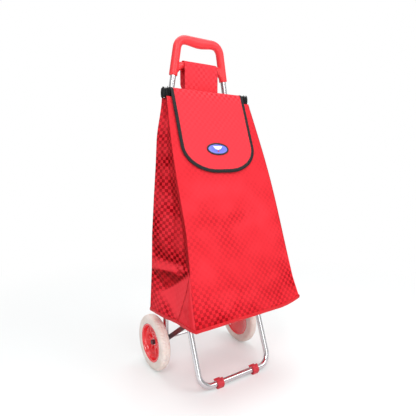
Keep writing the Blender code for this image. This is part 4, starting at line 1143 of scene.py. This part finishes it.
def hub_profile(t):
    """Deep dish with a lip, eight radial pockets in the web and a boss in the middle."""
    edge = TYRE_HALF - 0.0008
    web = 0.0
    boss = 0.0125 - TYRE_HALF + 0.0012
    inside = -TYRE_HALF + 0.0036
    pockets = 8
    web_r = 0.0450
    spoke = abs(((t * pockets / (2 * pi)) % 1.0) - 0.5) * 2     # 0 in a pocket's middle, 1 on a spoke
    pocket = 1 / (1 + exp((spoke - 0.52) / 0.05))
    face = []
    count = 22
    for k in range(count + 1):
        r = 0.0135 + (web_r - 0.0135) * k / count
        ring = 1 / (1 + exp(-(r - 0.0210) / 0.0008)) / (1 + exp((r - 0.0415) / 0.0008))
        dish = web - 0.0030 * (1 - (r / web_r) ** 2)
        face.append((r, dish - 0.0075 * pocket * ring))
    outer = [(HUB_R - 0.0018, edge - 0.0004), (HUB_R - 0.0006, edge), (HUB_R, edge - 0.0012)]
    wall = [(0.0462, web + 0.0005), (0.0474, web + 0.0024), (0.0484, web + 0.0060), (0.0496, edge - 0.0022),
            (0.0506, edge - 0.0006), (0.0520, edge - 0.0002)]
    inner = [(HUB_R, -edge + 0.001), (HUB_R - 0.001, -edge), (HUB_R - 0.005, -edge + 0.0008),
             (HUB_R - 0.008, inside), (0.0160, inside), (0.0125, inside - 0.001),
             (0.0115, -TYRE_HALF + 0.0008), (0.0070, -TYRE_HALF + 0.0008)]
    bore = [(0.0070, boss), (0.0085, boss + 0.0004), (0.0108, boss + 0.0002), (0.0118, boss - 0.0008)]
    return inner + bore + face + wall + outer


def wheels():
    for side, sign in SIDES:
        centre = Vector((sign * WHEEL_X, AXLE.y, AXLE.z))
        body = side + "_wheel"
        tyre = ring_surface(side + "_foam_tyre", tyre_profile, 352, TYRE_FOAM, centre, sign)
        fit(tyre, body, "tyre_foam", side + "_tyre")
        hub = ring_surface(side + "_dished_hub", hub_profile, 180, HUB_PLASTIC, centre, sign)
        fit(hub, body, "red_hub_plastic", side + "_hub")


# ---- carried-over pieces ----
def finish_nodes():
    finishes = {
        "foot_clip": CLIP_PLASTIC, "hub_bush": BUSH_PLASTIC, "axle_cap": DARK_STEEL, "brace": BRACE_STEEL,
        "stand_bracket": ZINC, "spacer": ZINC, "washer": ZINC, "rivet": ZINC, "pin": ZINC, "screw": ZINC,
        "axle": CHROME, "cross_bar": ZINC, "pad": HOOK_TAPE, "board": BOARD, "handle": HANDLE_PLASTIC,
        "tube": CHROME, "tyre": TYRE_FOAM, "hub": HUB_PLASTIC, "rim": BLACK_TAPE, "tape": BLACK_TAPE,
        "binding": BLACK_TAPE, "badge": BADGE_BLACK, "flap": RED_CLOTH, "bag": RED_CLOTH, "loop": RED_CLOTH}
    for name, obj in NODES.items():
        key = next(k for k in finishes if k in name)
        for slot in obj.material_slots:
            slot.material = finishes[key]


# ---- setting ----
def area_light(name, place, target, size, power, tone="FFFFFF"):
    lamp = bpy.data.lights.new(name, "AREA")
    lamp.shape = "RECTANGLE"
    lamp.size, lamp.size_y = size
    lamp.energy = power
    lamp.color = linear(tone)[:3]
    obj = bpy.data.objects.new(name, lamp)
    bpy.context.scene.collection.objects.link(obj)
    obj.location = place
    obj.rotation_euler = (Vector(target) - Vector(place)).to_track_quat("-Z", "Y").to_euler()


def setting():
    world = bpy.data.worlds.new("studio")
    bpy.context.scene.world = world
    world.use_nodes = True
    tree = world.node_tree
    way = add_node(tree, "TexCoord").outputs["Generated"]
    height = add_node(tree, "SeparateXYZ", links={0: way}).outputs["Z"]
    soft = add_node(tree, "MapRange", {"From Min": -0.1, "From Max": 0.8, "To Min": 0.22,
                                                 "To Max": 0.62}, {"Value": height})
    path = add_node(tree, "LightPath")
    mirrored = add_node(tree, "Math", {"operation": "MULTIPLY_ADD", 1: 0.12}, {
        0: path.outputs["Is Glossy Ray"], 2: soft.outputs[0]})
    level = add_node(tree, "Mix", {"data_type": "FLOAT", 3: 1.0}, {
        0: path.outputs["Is Camera Ray"], 2: mirrored.outputs[0]})
    tree.links.new(level.outputs[0], tree.nodes["Background"].inputs["Strength"])
    tree.nodes["Background"].inputs["Color"].default_value = (1, 1, 1, 1)
    mesh = bpy.data.meshes.new("floor")
    work = bmesh.new()
    bmesh.ops.create_grid(work, x_segments=8, y_segments=8, size=9)
    work.to_mesh(mesh)
    work.free()
    paper, tree, shader = new_material("studio_floor_paper", {"Base Color": linear("F0F4F4"),
                                                              "Roughness": 0.85})
    place = add_node(tree, "TexCoord").outputs["Object"]
    away = add_node(tree, "VectorMath", {"operation": "LENGTH"}, {0: place})
    far = add_node(tree, "MapRange", {
        "interpolation_type": "SMOOTHSTEP", "From Min": 0.35, "From Max": 1.5, "To Min": 0.22}, {
        "Value": away.outputs["Value"]})
    seen = add_node(tree, "LightPath").outputs["Is Camera Ray"]
    share = add_node(tree, "Math", {"operation": "MULTIPLY"}, {0: far.outputs[0], 1: seen})
    white = add_node(tree, "Emission", {"Color": (1, 1, 1, 1), "Strength": 1.0})
    both = add_node(tree, "MixShader", links={
        0: share.outputs[0], 1: shader.outputs[0], 2: white.outputs[0]})
    tree.links.new(both.outputs[0], tree.nodes["Material Output"].inputs["Surface"])
    floor = new_object("floor", mesh, paper)
    floor.location.z = -0.0003
    area_light("key", (0.95, -1.7, 1.85), (0, 0, 0.55), (1.2, 1.3), 16)
    area_light("fill", (-1.45, -1.7, 2.15), (0, 0, 0.4), (0.8, 0.9), 25)
    area_light("front", (-0.35, -2.1, 0.65), (-0.1, 0, 0.2), (0.8, 1.3), 10)
    area_light("top", (0.2, 0.4, 2.8), (0, 0, 0.3), (2.2, 2.2), 36)


def camera():
    """Low, and turned so that the left side and the front both show."""
    lens = bpy.data.cameras.new("camera")
    lens.sensor_width = 36.0
    lens.lens = 33.69
    obj = bpy.data.objects.new("camera", lens)
    bpy.context.scene.collection.objects.link(obj)
    place, turned, tipped, rolled = (-0.6474, -0.9001, 0.6057), radians(-34.66), radians(6.83), radians(-0.18)
    aim = Matrix.Rotation(turned, 4, "Z") @ Matrix.Rotation(pi / 2 - tipped, 4, "X")
    obj.matrix_world = Matrix.Translation(place) @ aim @ Matrix.Rotation(rolled, 4, "Z")
    bpy.context.scene.camera = obj


for make in (finish_nodes, bag_shell, bag_floor, base_board, base_hem, mouth_band, hanging_strap,
             flap_sheet, flap_binding, flap_stitching, badge, moulded_handle, frame_tubes, stand, wheels,
             setting, camera):
    make()
bpy.context.scene.view_settings.view_transform = "Standard"
